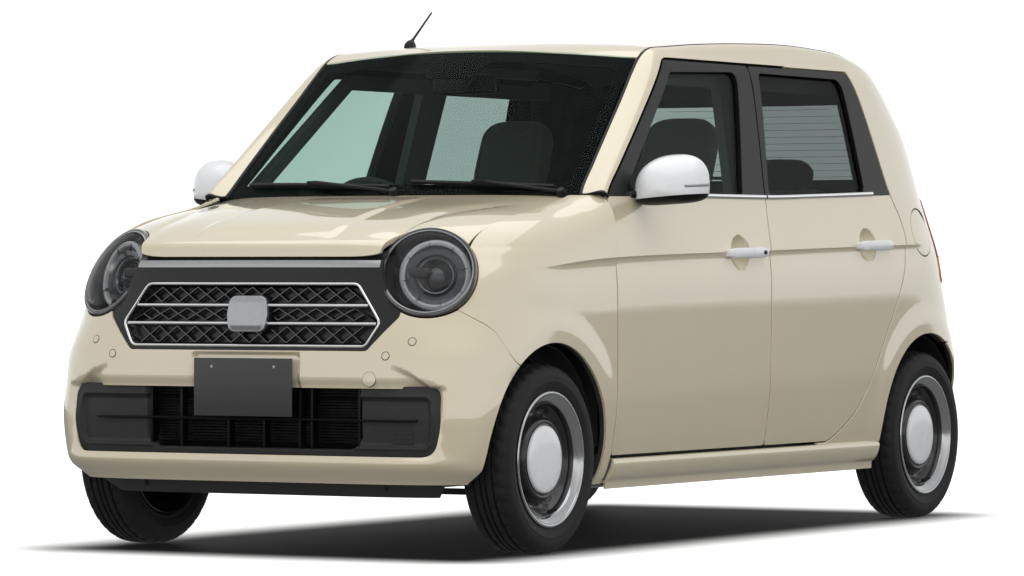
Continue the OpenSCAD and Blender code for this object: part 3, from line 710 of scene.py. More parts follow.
def marks(y, z):
    """Sharp character line along the side, with the hollow below it, and the soft low crease."""
    s = CREASE(y) - z
    a = .0058 * sstep(-1.34, -1.02, y) * (1 - sstep(1.18, 1.36, y))
    s1 = .026
    q = np.maximum(s, 0)
    g = np.where(s > 0, -a * (q / s1) * np.exp(1 - q / s1), 0)
    g = g + np.where(s <= 0, a * .28 * np.exp(s / .016), a * .28 * np.exp(-q / .004))
    l = LOWCR(y) - z
    k = sstep(-1.02, -.90, y) * (1 - sstep(.93, 1.0, y))
    g = g - k * .050 * .5 * (l + np.sqrt(l * l + .000012)) * (1 - sstep(.0, .26, l) * .35)
    return g


def side_x(y, z):
    return A(z) * plan(y, z) + marks(y, z) + arch_lip(y, z)


def side(y, z, inset=0.0):
    return np.stack([side_x(y, z) - inset, y, z], -1)


def row_map(y, q):
    """Side surface by height above the character line, so that one grid row lies on it."""
    return side(y, CREASE(y) + q)


def z_rows(lo, hi, h=.014):
    near = [-.060, -.050, -.041, -.033, -.026, -.020, -.015, -.0105, -.007, -.004, -.002, -.0008, 0.0, .0008, .002, .005, .010, .017, .026]
    a = list(steps(lo, -.060, h))[:-1] if lo < -.06 else []
    b = list(steps(.026, hi, h))[1:]
    return np.array(a + near + b)


G = .0025  # half of a panel gap
FD_F = Curve([(.10, -.8240), (.75, -.8240), (.85, -.8225), (.93, -.8205), (1.0, -.8175), (1.025, -.812), (1.04, -.800), (1.12, -.700), (1.22, -.574), (1.32, -.448), (1.40, -.348), (1.46, -.272)])
FD_R = Curve([(.10, .168), (.46, .168), (.60, .170), (.75, .172), (.85, .178), (.93, .190), (1.0, .205), (1.04, .215), (1.12, .228), (1.22, .243), (1.32, .259), (1.40, .271), (1.47, .282)])
RDOOR = [(.590, .268), (.640, .282), (.700, .309), (.777, .353), (.884, .460), (.990, .600), (1.060, .690), (1.100, .750), (1.148, .840), (1.170, .920), (1.168, .955), (1.152, 1.000),
         (1.130, 1.040), (1.098, 1.120), (1.066, 1.220), (1.034, 1.320), (1.006, 1.400), (.985, 1.4525)]
BELT = Curve([(-.85, 1.030), (-.6, 1.0325), (.2, 1.034), (.6, 1.043), (.98, 1.054), (1.2, 1.060)])
DOOR_LO, DOOR_TOP = .2705, 1.4545


def rdoor_line():
    """Rear edge of the rear door, smoothed, as a dense outline."""
    P = np.array(RDOOR)
    t = np.concatenate([[0], np.cumsum(np.hypot(*np.diff(P, axis=0).T))])
    ty = Spline(list(zip(t, P[:, 0])))
    tz = Spline(list(zip(t, P[:, 1])))
    q = np.linspace(0, t[-1], 90)
    return np.stack([ty(q), tz(q)], 1)


RLINE = rdoor_line()
zz = np.linspace(DOOR_LO, DOOR_TOP, 80)
front_poly = np.vstack([[[-.8240, DOOR_LO], [.168, DOOR_LO]], np.stack([FD_R(zz), zz], 1)[1:], np.stack([FD_F(zz[::-1]), zz[::-1]], 1)[:-1]])
rear_poly = np.vstack([[[.168, DOOR_LO], [.560, DOOR_LO]], RLINE[RLINE[:, 1] > DOOR_LO], [[.982, DOOR_TOP]], np.stack([FD_R(zz[::-1]), zz[::-1]], 1)])


def soft_poly(poly, r):
    """Signed distance to the outline, unchanged."""
    f = poly_sdf(poly)
    return f


f_front = poly_sdf(rounded(front_poly, .012, 4))
f_rear = poly_sdf(rounded(rear_poly, .012, 4))


def door_gap(P):
    """Distance outside both doors, in the side view."""
    return -np.maximum(f_front(P[:, 1], P[:, 2]), f_rear(P[:, 1], P[:, 2]))


R0 = .0018
# ---- doors below the belt line
ys_f = steps(-.835, .225, .014)
ys_r = steps(.155, 1.185, .014)
TK = .046


def door_in(P, N):
    D = np.zeros_like(P)
    D[:, 0] = -TK
    return D


def handle_dent(y0, z0):
    """Scooped hand hollow behind a door handle."""
    def f(y, z):
        e = ((y - y0) / .063) ** 2 + ((z - z0) / .053) ** 2
        return -.026 * np.clip(1 - e, 0, 1) ** .85
    return f


HAND_F, HAND_R = (.006, .868), (.911, .894)
dent_f, dent_r = handle_dent(HAND_F[0] - .032, HAND_F[1]), handle_dent(HAND_R[0] - .031, HAND_R[1])


def dented(dent):
    def f(y, q):
        z = CREASE(y) + q
        return np.stack([side_x(y, z) + dent(y, z), y, z], -1)
    return f


def fine(base, lo, hi, h):
    """Grid lines with a finer stretch between lo and hi."""
    base = np.asarray(base)
    return np.unique(np.round(np.concatenate([base[(base < lo - h) | (base > hi + h)], steps(lo, hi, h)]), 6))


rows = np.concatenate([z_rows(-.63, .060, .006)[:], steps(.072, .20, .013)])
rows = np.concatenate([steps(-.63, -.07, .014), rows[rows > -.0605]])
S = sheet(fine(ys_f, HAND_F[0] - .10, HAND_F[0] + .04, .005), rows, dented(dent_f))
S = S.clip(lambda P, U: f_front(P[:, 1], P[:, 2]) - G - R0)
S = S.clip(lambda P, U: BELT(P[:, 1]) - P[:, 2] - .001)
front_skin = shell(S, TK, R0, door_in)
pair("front_door_skin", front_skin, [PAINT, PLASTIC], ("front_door_left", "front_door_right"), (("front_door_left",), ("front_door_right",)), "body_paint")
S = sheet(fine(ys_r, HAND_R[0] - .10, HAND_R[0] + .04, .005), rows, dented(dent_r))
S = S.clip(lambda P, U: f_rear(P[:, 1], P[:, 2]) - G - R0)
S = S.clip(lambda P, U: BELT(P[:, 1]) - P[:, 2] - .001)
rear_skin = shell(S, TK, R0, door_in)
pair("rear_door_skin", rear_skin, [PAINT, PLASTIC], ("rear_door_left", "rear_door_right"), (("rear_door_left",), ("rear_door_right",)), "body_paint")

# ---- window frames of the doors
FWIN = rounded([(-.690, 1.047), (-.264, 1.414), (.180, 1.428), (.064, 1.044)], [.016, .030, .030, .022])
RWIN = rounded([(.246, 1.045), (.332, 1.430), (.912, 1.428), (.936, 1.064)], [.022, .030, .045, .030])
f_fwin, f_rwin = poly_sdf(FWIN), poly_sdf(RWIN)


def frame_in(P, N):
    D = np.zeros_like(P)
    D[:, 0] = -.034
    return D


GRID = 1.3
for nm, f_d, f_w, ya, yb, bodies in (("front", f_front, f_fwin, -.83, .29, ("front_door_left", "front_door_right")),
                                     ("rear", f_rear, f_rwin, .19, 1.17, ("rear_door_left", "rear_door_right"))):
    S = sheet(steps(ya, yb, .010), steps(1.015, 1.4575, .010), lambda y, z: side(y, z, .0015))
    S = S.clip(lambda P, U: f_d(P[:, 1], P[:, 2]) - G - R0)
    S = S.clip(lambda P, U: P[:, 2] - BELT(P[:, 1]))
    S = S.clip(lambda P, U: -f_w(P[:, 1], P[:, 2]) - R0)
    pair(nm + "_window_frame", shell(S, .034, R0, frame_in), [BLACK, BLACK], bodies, ((), ()), "black_plastic")
    S = sheet(steps(ya, yb, .016), steps(1.015, 1.4575, .016), lambda y, z: side(y, z, .012))
    S = S.clip(lambda P, U: f_w(P[:, 1], P[:, 2]) + .006)
    V, F, fm, N = shell(S, .004, .0002, lambda P, N: np.tile([-.004, 0, 0], (len(P), 1)))
    pair(nm + "_window_glass", (V, F, [0] * len(F), N), [GLASSF if nm == "front" else GLASSR], bodies,
         ((nm + "_window_left",), (nm + "_window_right",)), "glass" if nm == "front" else "privacy_glass")


# ---- bright strip along the belt line
def strip(y0, y1, up, bodies, name):
    y = steps(y0, y1, .02)
    z = BELT(y) + up
    path = np.stack([side_x(y, z) + .0005, y, z], 1)
    sec = [(-.0015, -.0065), (.0035, -.0065), (.0055, -.004), (.0060, 0), (.0055, .004), (.0035, .0065), (-.0015, .0065)]
    V, F = sweep(path, [(a, b) for a, b in sec], up=(0, 0, 1))
    pair(name, (V, F, [0] * len(F), None), [CHROME], bodies, sharp=40)


strip(-.675, FD_R(1.04) - .004, .0065, ("front_door_left", "front_door_right"), "front_belt_strip")
strip(FD_R(1.04) + .004, .982, .0065, ("rear_door_left", "rear_door_right"), "rear_belt_strip")

# ---- front wing
LAMP_C = np.array([.527, -1.558, .810])
t_, l_ = math.radians(23.6), math.radians(29)
LAX = np.array([math.sin(t_) * math.cos(l_), -math.cos(t_) * math.cos(l_), math.sin(l_)])
LX = np.array([math.cos(t_), math.sin(t_), 0])
LY = np.cross(LAX, LX)


def lamp_dist(P):
    Q = P * np.array([1, 1, 1.0])
    Q = Q.copy()
    Q[:, 0] = np.abs(Q[:, 0])
    D = Q - LAMP_C
    a = D @ LX / 1.0
    b = D @ LY / 1.035
    return np.hypot(a, b)


LAMP_R = .1385


def wing_sec(y, v):
    """Wing by y and by v: height up to .9, with the character line at .85, then round the shoulder to the bonnet."""
    n, h = DECK_N(y), DECK(y) - .6
    shift = CREASE(y) - .85
    z1 = np.minimum(v, .9) + shift * sstep(.62, .75, v)
    q = np.maximum(z1 - .6, 0) / h
    x1 = np.where(z1 > .6, A(np.minimum(z1, .7)) * plan(y, np.minimum(z1, .88)) * sup(q, n), A(z1) * plan(y, z1))
    z0 = (.9 + shift - .6) / h
    ph = np.minimum(np.arctan2(z0, sup(z0, n)) + np.maximum(v - .9, 0) * 1.6, 1.5)
    r = 1 / (np.cos(ph) ** n + np.sin(ph) ** n) ** (1 / n)
    z2 = .6 + h * r * np.sin(ph)
    x2 = A(.7) * plan(y, np.minimum(z2, .88)) * r * np.cos(ph)
    z = np.where(v > .9, z2, z1)
    x = np.where(v > .9, x2, x1)
    return np.stack([x + marks(y, z) + arch_lip(y, z), y, z], -1)


SPLIT = np.array([(-1.70, .775), (-1.597, .734), (-1.551, .691), (-1.485, .641), (-1.443, .577), (-1.412, .552), (-1.36, .535), (-1.0, .50)])


SPLITC = Curve([tuple(p) for p in SPLIT])


def split_side(P):
    """Positive behind and above the line between wing and bumper."""
    return np.where(P[:, 1] > -1.30, 1.0, P[:, 2] - SPLITC(P[:, 1]))


LINE_X = .605
GRID = 1.0
vrows = np.concatenate([steps(.185, .775, .012), .85 + z_rows(-.06, .040, .007), steps(.90, 1.18, .008)])
S = sheet(steps(-1.60, -.815, .011), vrows, wing_sec)
S = S.clip(lambda P, U: FD_F(P[:, 2]) - P[:, 1] - G - R0)
S = S.clip(lambda P, U: np.hypot(P[:, 1] - AXF, P[:, 2] - WZ) - ARCH)
S = S.clip(lambda P, U: P[:, 0] - LINE_X - G - R0)
S = S.clip(lambda P, U: lamp_dist(P) - LAMP_R - .0035 - R0)
S = S.clip(lambda P, U: split_side(P) - .0012 - R0)
S = S.clip(lambda P, U: P[:, 2] - .190)
S = S.clip(lambda P, U: 1.034 - P[:, 2])
S = S.clip(lambda P, U: np.where(P[:, 2] < .5, P[:, 1] - AXF, 1.0))
pair("front_wing", shell(S, .022, R0), [PAINT, UNDER], repl=(("front_wings",), ()), slot="body_paint")

# ---- rear quarter, roof rail and screen pillar
QR = Curve([(.20, 1.300), (.46, 1.330), (.56, 1.452), (.60, 1.500), (.62, 1.502), (.75, 1.478), (.80, 1.466), (1.055, 1.452), (1.12, 1.452), (1.22, 1.450), (1.32, 1.418), (1.38, 1.385), (1.41, 1.345), (1.433, 1.290), (1.46, 1.284), (1.50, 1.280)])
FLAP = (1.310, .938)
FLAP_R = .079
DITCH = Curve([(-.30, 1.4885), (-.20, 1.4945), (0, 1.5005), (.3, 1.505), (.6, 1.507), (1.0, 1.502), (1.25, 1.492), (1.40, 1.481)])
DITCH_X = .5525

# path of the door frame's outer edge (y, z) and of the glass or roof edge opposite (x, y, z)
RAIL = [(-.818, 1.032, .621, -.836, 1.034), (-.806, 1.046, .615, -.825, 1.046), (-.706, 1.126, .603, -.735, 1.128), (-.580, 1.226, .588, -.617, 1.232),
        (-.454, 1.326, .573, -.500, 1.334), (-.354, 1.4055, .560, -.408, 1.417), (-.315, 1.436, .5555, -.366, 1.452), (-.292, 1.4515, .5535, -.330, 1.474),
        (-.262, 1.4595, .5525, -.285, 1.4885), (-.20, 1.4605, .5525, -.205, 1.4945), (0, 1.4605, .5525, 0, 1.5090), (.3, 1.4605, .5525, .3, 1.5225), (.6, 1.4605, .5525, .6, 1.5295),
        (.95, 1.4600, .5510, .95, 1.5190), (1.10, 1.4560, .5440, 1.10, 1.5000), (1.20, 1.4470, .5260, 1.20, 1.4810), (1.285, 1.4330, .5000, 1.285, 1.4590)]
rl = np.array(RAIL)
rt = np.concatenate([[0], np.cumsum(np.hypot(*np.diff(rl[:, :2], axis=0).T))])
RAILC = [Curve(list(zip(rt, rl[:, k]))) for k in range(5)]


def rail_map(s, u):
    ey, ez, rx, ry, rz = (c(s) for c in RAILC)
    ex = side_x(ey, ez)
    e = .004
    sy, sz = RAILC[0](s + e) - RAILC[0](s - e), RAILC[1](s + e) - RAILC[1](s - e)
    L = np.hypot(sy, sz)
    ny, nz = -sz / L, sy / L
    slope = (side_x(ey + ny * e, ez + nz * e) - side_x(ey - ny * e, ez - nz * e)) / (2 * e)
    E, Rr = np.stack([ex, ey, ez], -1), np.stack([rx, ry, rz], -1)
    T0 = unit(np.stack([slope, ny, nz], -1))
    T1 = unit(np.stack([-np.ones_like(s), -.30 * ny * 0, .16 + 0 * s], -1))
    k = np.linalg.norm(Rr - E, axis=-1, keepdims=True) * .42
    P1, P2 = E + T0 * k, Rr - T1 * k
    u = u[..., None]
    return (1 - u) ** 3 * E + 3 * u * (1 - u) ** 2 * P1 + 3 * u * u * (1 - u) * P2 + u ** 3 * Rr


S = sheet(steps(.0, rt[-1], .016), steps(0, 1, 1 / 11), rail_map, flip=False)
pair("roof_rail", shell(S, .006, .0004), [PAINT, BLACK], repl=((), ()), slot="body_paint")

def quarter(flap):
    S = sheet(steps(.55, 1.515, .012), z_rows(-.71, .60, .013), row_map)
    S = S.clip(lambda P, U: QR(P[:, 2]) - P[:, 1] - .0015)
    S = S.clip(lambda P, U: door_gap(P) - G - R0)
    S = S.clip(lambda P, U: np.hypot(P[:, 1] - AXR, P[:, 2] - WZ) - ARCH)
    if flap:
        S = S.clip(lambda P, U: np.hypot(P[:, 1] - FLAP[0], P[:, 2] - FLAP[1]) - FLAP_R - .002)
    S = S.clip(lambda P, U: RAILC[1](np.interp(P[:, 1], rl[:, 0], rt)) - P[:, 2] + .0004)
    S = S.clip(lambda P, U: P[:, 2] - .264)
    S = S.clip(lambda P, U: np.where(P[:, 2] < .6, AXR - P[:, 1], 1.0) + np.where(P[:, 2] > .58, 1.0, 0))
    return shell(S, .030, R0)


V, F, fm, N = quarter(True)
emit("rear_quarter_left", V, F, [PAINT, UNDER], fm, N, "body", ("rear_quarters",), "body_paint")
V, F, fm, N = quarter(False)
V, F, N = flipx(V, F, N)
emit("rear_quarter_right", V, F, [PAINT, UNDER], fm, N, "body", (), "body_paint")

# ---- bonnet
BP = np.array([(-1.6400, .842), (-1.6395, .856), (-1.6375, .872), (-1.6330, .8855), (-1.6240, .8950), (-1.6050, .9045), (-1.585, .9135), (-1.55, .929), (-1.50, .946), (-1.40, .969), (-1.30, .988), (-1.10, 1.016), (-.955, 1.0365)])
bt = np.concatenate([[0], np.cumsum(np.hypot(*np.diff(BP, axis=0).T))])
BY, BZ = Spline(list(zip(bt, BP[:, 0]))), Spline(list(zip(bt, BP[:, 1])))
RIDGE1 = Curve([(-1.64, .205), (-1.58, .215), (-1.52, .220), (-1.43, .215), (-1.295, .205), (-1.115, .186), (-.95, .165)])
RIDGE2 = Curve([(-1.62, .420), (-1.56, .428), (-1.467, .430), (-1.363, .435), (-1.268, .462), (-1.164, .491), (-1.0, .54), (-.9, .56)])


def deck_drop(x, y):
    yy = np.maximum(y, -1.47)
    a0 = A(.7) * plan(yy, np.full_like(yy, .80))
    return (DECK(y) - .6) * (1 - sup(np.abs(x) / a0, DECK_N(y)))


def bonnet_map(x, t):
    yc, zc = BY(t), BZ(t)
    tau = np.clip((yc + 1.64) / (1.64 - .955), 0, 1)
    ax = np.abs(x)
    yf = -1 - .640 * sup(ax / .748, 3.4)
    yr = .118 * (ax / .6) ** 2
    y = yc + (yf + 1.640) * (1 - tau) ** 1.6 + yr * tau ** 3
    fade = sstep(-1.625, -1.54, y) * (1 - sstep(-1.12, -.97, y))
    e1 = ax - RIDGE1(y)
    e2 = ax - RIDGE2(y)
    bump = .0062 * (1 - sstep(-.004, .030, e1)) * fade
    bump = bump - .0052 * np.where(e2 < 0, np.exp(-(e2 / .055) ** 2) * sstep(-.16, .0, e2), np.exp(-e2 / .012)) * sstep(-1.60, -1.50, y) * (1 - sstep(-1.20, -1.02, y))
    return np.stack([x, y, zc - deck_drop(x, y) + bump], -1)


EDGE_Z = Curve([(0, .8545), (.30, .8545), (.345, .8555), (.385, .860), (.42, .872), (.45, .893), (.48, .914), (.53, .935), (.60, .930)])
xs = np.unique(np.round(np.concatenate([steps(-.612, .612, .012), steps(.16, .25, .005), -steps(.16, .25, .005), steps(.40, .47, .005), -steps(.40, .47, .005)]), 5))
ts = np.concatenate([steps(0, .075, .0045), steps(.085, bt[-1] + .012, .0115)])
S = sheet(xs, ts, bonnet_map)
S = S.clip(lambda P, U: LINE_X - G - R0 - np.abs(P[:, 0]))
S = S.clip(lambda P, U: lamp_dist(P) - LAMP_R - .0045 - R0)
S = S.clip(lambda P, U: np.where(np.abs(P[:, 0]) < .5, P[:, 2] - EDGE_Z(np.abs(P[:, 0])), 1.0))
S = S.clip(lambda P, U: -.962 + .118 * (P[:, 0] / .6) ** 2 - P[:, 1])
V, F, fm, N = shell(S, .016, R0)
emit("bonnet_panel", V, F, [PAINT, INNER], fm, N, "bonnet", ("bonnet",), "body_paint")
GRID = 1.15

# ---- front bumper
D2R = math.pi / 180


def polar(a, d, n, f):
    return 1 / ((np.abs(np.cos(f)) / a) ** n + (np.abs(np.sin(f)) / d) ** n) ** (1 / n)


INTAKE = rounded([(-.600, .292), (.600, .292), (.618, .39), (.604, .482), (-.604, .482), (-.618, .39)], [.045, .045, .2, .040, .040, .2])
f_in = poly_sdf(INTAKE)
PANEL = rounded([(-.398, .5875), (.398, .5875), (.490, .688), (.42, .86), (-.42, .86), (-.490, .688)], [.018, .018, .02, 0, 0, .02])
f_panel = poly_sdf(PANEL)
PLATE_R = rounded([(-.180, .392), (.180, .392), (.180, .580), (-.180, .580)], [.0, .0, .014, .014])
f_plate = poly_sdf(PLATE_R)


def nose_map(f, z, inset=0.0):
    f = f * D2R
    r = polar(A(np.minimum(z, .70)), NOSE_D(z), NOSE_N(z), f)
    x, y = r * np.cos(f), -1 - r * np.sin(f)
    ax = np.abs(x)
    push = np.zeros_like(x)
    # hollow behind the plate, wedge above the intake's ends, turned-in edge of the intake, lip below it
    push = push - .011 * sstep(-.003, .006, f_plate(x, z))
    wx = np.clip((ax - .465) / .125, 0, 1)
    wtop = .548 - .060 * wx ** 1.6
    w = sstep(0, .9, wx) * (1 - sstep(.605, .640, ax)) * (1 - sstep(wtop - .012, wtop + .004, z)) * sstep(.30, .46, z)
    push = push - .030 * w
    push = push - .012 * (1 - sstep(.0, .030, -f_in(x, z))) * sstep(.26, .30, z)
    push = push + .010 * np.exp(-((z - .272) / .020) ** 2) * (1 - sstep(.60, .70, ax)) - .030 * (1 - sstep(.205, .258, z))
    push = push + arch_lip(y, z)
    push = push - inset
    q = np.stack([x, y + 1, np.zeros_like(x)], -1)
    nx = np.sign(x) * (ax / A(z)) ** (NOSE_N(z) - 1) / A(z)
    ny = -(np.maximum(-1 - y, 0) / NOSE_D(z)) ** (NOSE_N(z) - 1) / NOSE_D(z)
    L = np.hypot(nx, ny) + 1e-9
    return np.stack([x + push * nx / L, y + push * ny / L, z], -1)


fa = np.concatenate([steps(26, 52, .55), steps(52.5, 127.5, .75), steps(128, 154, .55)])
S = sheet(fa, np.concatenate([steps(.212, .31, .007), steps(.318, .47, .0085), steps(.475, .60, .006), steps(.61, .76, .009)]), nose_map, flip=True)
S = S.clip(lambda P, U: -f_in(P[:, 0], P[:, 2]) - R0)
S = S.clip(lambda P, U: -f_panel(P[:, 0], P[:, 2]) - R0)
S = S.clip(lambda P, U: lamp_dist(P) - LAMP_R - .0045 - R0)
S = S.clip(lambda P, U: -split_side(P) - .0012 - R0)
S = S.clip(lambda P, U: np.hypot(P[:, 1] - AXF, P[:, 2] - WZ) - ARCH)
S = S.clip(lambda P, U: -1.20 - P[:, 1])
V, F, fm, N = shell(S, .020, R0)
emit("front_bumper_skin", V, F, [PAINT, PLASTIC], fm, N, "body", ("front_bumper",), "body_paint")

# black valance under the bumper
S = sheet(steps(44, 136, 1.0), steps(.172, .216, .006), lambda f, z: nose_map(f, z, .030 + (.216 - z) * .55), flip=True)
V, F, fm, N = shell(S, .012, .002)
emit("front_valance", V, F, [PLASTIC, PLASTIC], fm, N, "body", (), "black_plastic")


def front_y(x, z, inset=0.0):
    """The nose's y at x and z."""
    return -1 - NOSE_D(z) * sup(np.abs(x) / A(z), NOSE_N(z)) + inset


def front_sheet(xs, zs, inset):
    def f(x, z):
        i = inset(x, z) if callable(inset) else inset
        return np.stack([x, front_y(x, z) + i, z], -1)
    return sheet(xs, zs, f)


# lower intake: recessed moulding, side blanks, fins, posts, mid bar
f_mesh = poly_sdf(rounded([(-.345, .3095), (.368, .3095), (.368, .500), (-.345, .500)], [.045, .045, 0, 0]))


def in_depth(x, z):
    d = f_in(x, z)
    blank = .022 + .010 * sstep(.018, .034, d) - .006 * np.exp(-((d - .024) / .006) ** 2)
    return blank + .050 * sstep(-.002, .004, f_mesh(x, z))


GRID = 1.28
S = front_sheet(steps(-.625, .625, .0065), steps(.283, .492, .0055), in_depth)
S = S.clip(lambda P, U: f_in(P[:, 0], P[:, 2]) + .006)
V, F, fm, N = shell(S, .010, .001, (0, 1, 0))
emit("lower_intake", V, F, [PLASTIC, PLASTIC], fm, N, "body", (), "black_plastic")
parts = []
for k in range(20):
    z = .3165 + k * .0083
    xa, xb = (-.338, .362)
    if z < .345:
        xa, xb = -.318, .340
    x = steps(xa, xb, .03)
    V, F = sweep(np.stack([x, front_y(x, np.full_like(x, z), .050), np.full_like(x, z)], 1), [(-.010, -.0011), (.008, -.0011), (.010, 0), (.008, .0011), (-.010, .0011)])
    parts.append((V, F, 0))
for x0 in (-.338, -.235, -.075, .045, .165, .205, .362):
    V, F = rbox((x0 - .004, front_y(x0, .39) + .036, .312), (x0 + .004, front_y(x0, .39) + .066, .486), .0015, 2)
    parts.append((V, F, 0))
x = steps(-.520, .548, .02)
zb = .3925 + 0 * x
V, F = sweep(np.stack([x, front_y(x, zb, .026), zb], 1), [(-.012, -.0035), (.008, -.0030), (.0115, 0), (.008, .0030), (-.012, .0035)])
parts.append((V, F, 0))
for k in range(3):
    z = .330 + k * .0145
    x = steps(.470, .533, .008)
    V, F = sweep(np.stack([x, front_y(x, z + 0 * x, .0335), z + 0 * x], 1), [(-.004, -.0048), (.0032, -.0042), (.0032, .0042), (-.004, .0048)])
    parts.append((V, F, 1))
V, F, fm = merge(parts)
emit("intake_fins", V, F, [BLACK, GLOSSB], fm, None, "body", (), "black_plastic", sharp=35)

# round sensors and the tow eye's cover on the bumper
parts = []


def stud(x, z, r, h):
    e = 1e-3
    p = nose_at(x, z)
    n = unit(np.cross(nose_at(x + e, z) - nose_at(x - e, z), nose_at(x, z + e) - nose_at(x, z - e)))
    n = n if n[1] < 0 else -n
    return revolve([(0, -.004), (r, -.004), (r, h * .4), (r * .93, h), (0.0001, h + .0004)], 28, p, n, (0, 0, 1))


def nose_at(x, z):
    a, d, n = A(min(z, .7)), NOSE_D(z), NOSE_N(z)
    y = -1 - d * sup(abs(x) / a, n)
    return np.array([x, float(y), z])


for s in (-1, 1):
    for x, z in ((.533, .615), (.460, .5745)):
        V, F = stud(s * x, z, .0105, .0016)
        parts.append((V, F, 0))
        V, F = stud(s * x, z, .0128, .0006)
        parts.append((V, F, 1))
V, F = stud(.412, .509, .0205, .0009)
parts.append((V, F, 0))
V, F = stud(.412, .509, .0216, .0003)
parts.append((V, F, 1))
V, F, fm = merge(parts)
emit("bumper_sensors", V, F, [PAINT, TRIMG], fm, None, "body", (), "body_paint", sharp=30)

# ---- grille panel between the lamps
HEX = rounded([(-.392, .6005), (.392, .6005), (.431, .667), (.353, .776), (-.353, .776), (-.431, .667)], [.022, .022, .020, .026, .026, .020])
f_hex = poly_sdf(HEX)


def panel_in(x, z):
    return .007 + .030 * sstep(.001, .010, f_hex(x, z)) + .010 * sstep(.842, .850, z)


S = front_sheet(steps(-.52, .52, .0065), steps(.583, .868, .0055), panel_in)
S = S.clip(lambda P, U: lamp_dist(P) - LAMP_R + .010)
S = S.clip(lambda P, U: f_panel(P[:, 0], P[:, 2]) + .010)
V, F, fm, N = shell(S, .008, .001, (0, 1, 0))
emit("grille_panel", V, F, [SMOKE, PLASTIC], fm, N, "body", ("grille",), "black_plastic")
GRID = 1.5
S = front_sheet(steps(-.455, .455, .007), steps(.8235, .8425, .0032), lambda x, z: .0045 + .16 * np.abs(z - .833))
S = S.clip(lambda P, U: lamp_dist(P) - LAMP_R + .002)
V, F, fm, N = shell(S, .006, .001, (0, 1, 0))
emit("grille_upper_strip", V, F, [SATIN, PLASTIC], fm, N, "body", (), "white_trim")
# bright outline and the two bars
L = HEX
seg = np.vstack([L, L[:1]])
cum = np.concatenate([[0], np.cumsum(np.hypot(*np.diff(seg, axis=0).T))])
q = np.linspace(0, cum[-1], 260, endpoint=False)
hx, hz = np.interp(q, cum, seg[:, 0]), np.interp(q, cum, seg[:, 1])
path = np.stack([hx, front_y(hx, hz, .0040), hz], 1)
parts = []
V, F = sweep(path, circle(.0043, 10), up=(0, -1, 0), closed=True)
parts.append((V, F, 0))
for z, xe in ((.715, .388), (.6635, .418)):
    for a, b in ((-xe, -.062), (.062, xe)):
        x = steps(a, b, .02)
        V, F = sweep(np.stack([x, front_y(x, z + 0 * x, .0075), z + 0 * x], 1), circle(.0048, 10, .0052), up=(0, 0, 1))
        parts.append((V, F, 0))
V, F, fm = merge(parts)
emit("grille_bright_trim", V, F, [CHROME], fm, None, "body", (), "white_trim", sharp=50)
# plain rounded pad where the bars meet
hub = rounded([(-.060, .640), (.060, .640), (.068, .690), (.060, .742), (-.060, .742), (-.068, .690)], [.026, .026, .06, .026, .026, .06])
f_hub = poly_sdf(hub)
S = front_sheet(steps(-.075, .075, .003), steps(.635, .747, .003), lambda x, z: -.004 - .004 * sstep(0, .02, f_hub(x, z)))
S = S.clip(lambda P, U: f_hub(P[:, 0], P[:, 2]) - .002)
V, F, fm, N = shell(S, .030, .003, (0, 1, 0))
emit("grille_centre_pad", V, F, [SATIN, PLASTIC], fm, N, "body", (), "white_trim")
# three bands of diamond mesh
parts = []
for z0, z1 in ((.725, .766), (.6735, .7065), (.609, .6545)):
    zc, h = (z0 + z1) / 2, (z1 - z0) / 2
    p = .062
    for k in range(-8, 9):
        xc = k * p + (p / 2 if z0 > .65 and z0 < .70 else 0)
        for s in (-1, 1):
            for e in (-1, 1):
                a = np.array([xc - p / 2 * e, zc])
                b = np.array([xc, zc + s * h])
                xx = np.linspace(a[0], b[0], 4)
                zz2 = np.linspace(a[1], b[1], 4)
                if np.any(f_hex(xx, zz2) < .008):
                    continue
                V, F = sweep(np.stack([xx, front_y(xx, zz2, .0235), zz2], 1), [(-.0026, -.006), (.0026, -.006), (.0012, .006), (-.0012, .006)], up=(0, -1, 0))
                parts.append((V, F, 0))
V, F, fm = merge(parts)
emit("grille_mesh", V, F, [GLOSSB], fm, None, "body", (), "black_plastic", sharp=30)


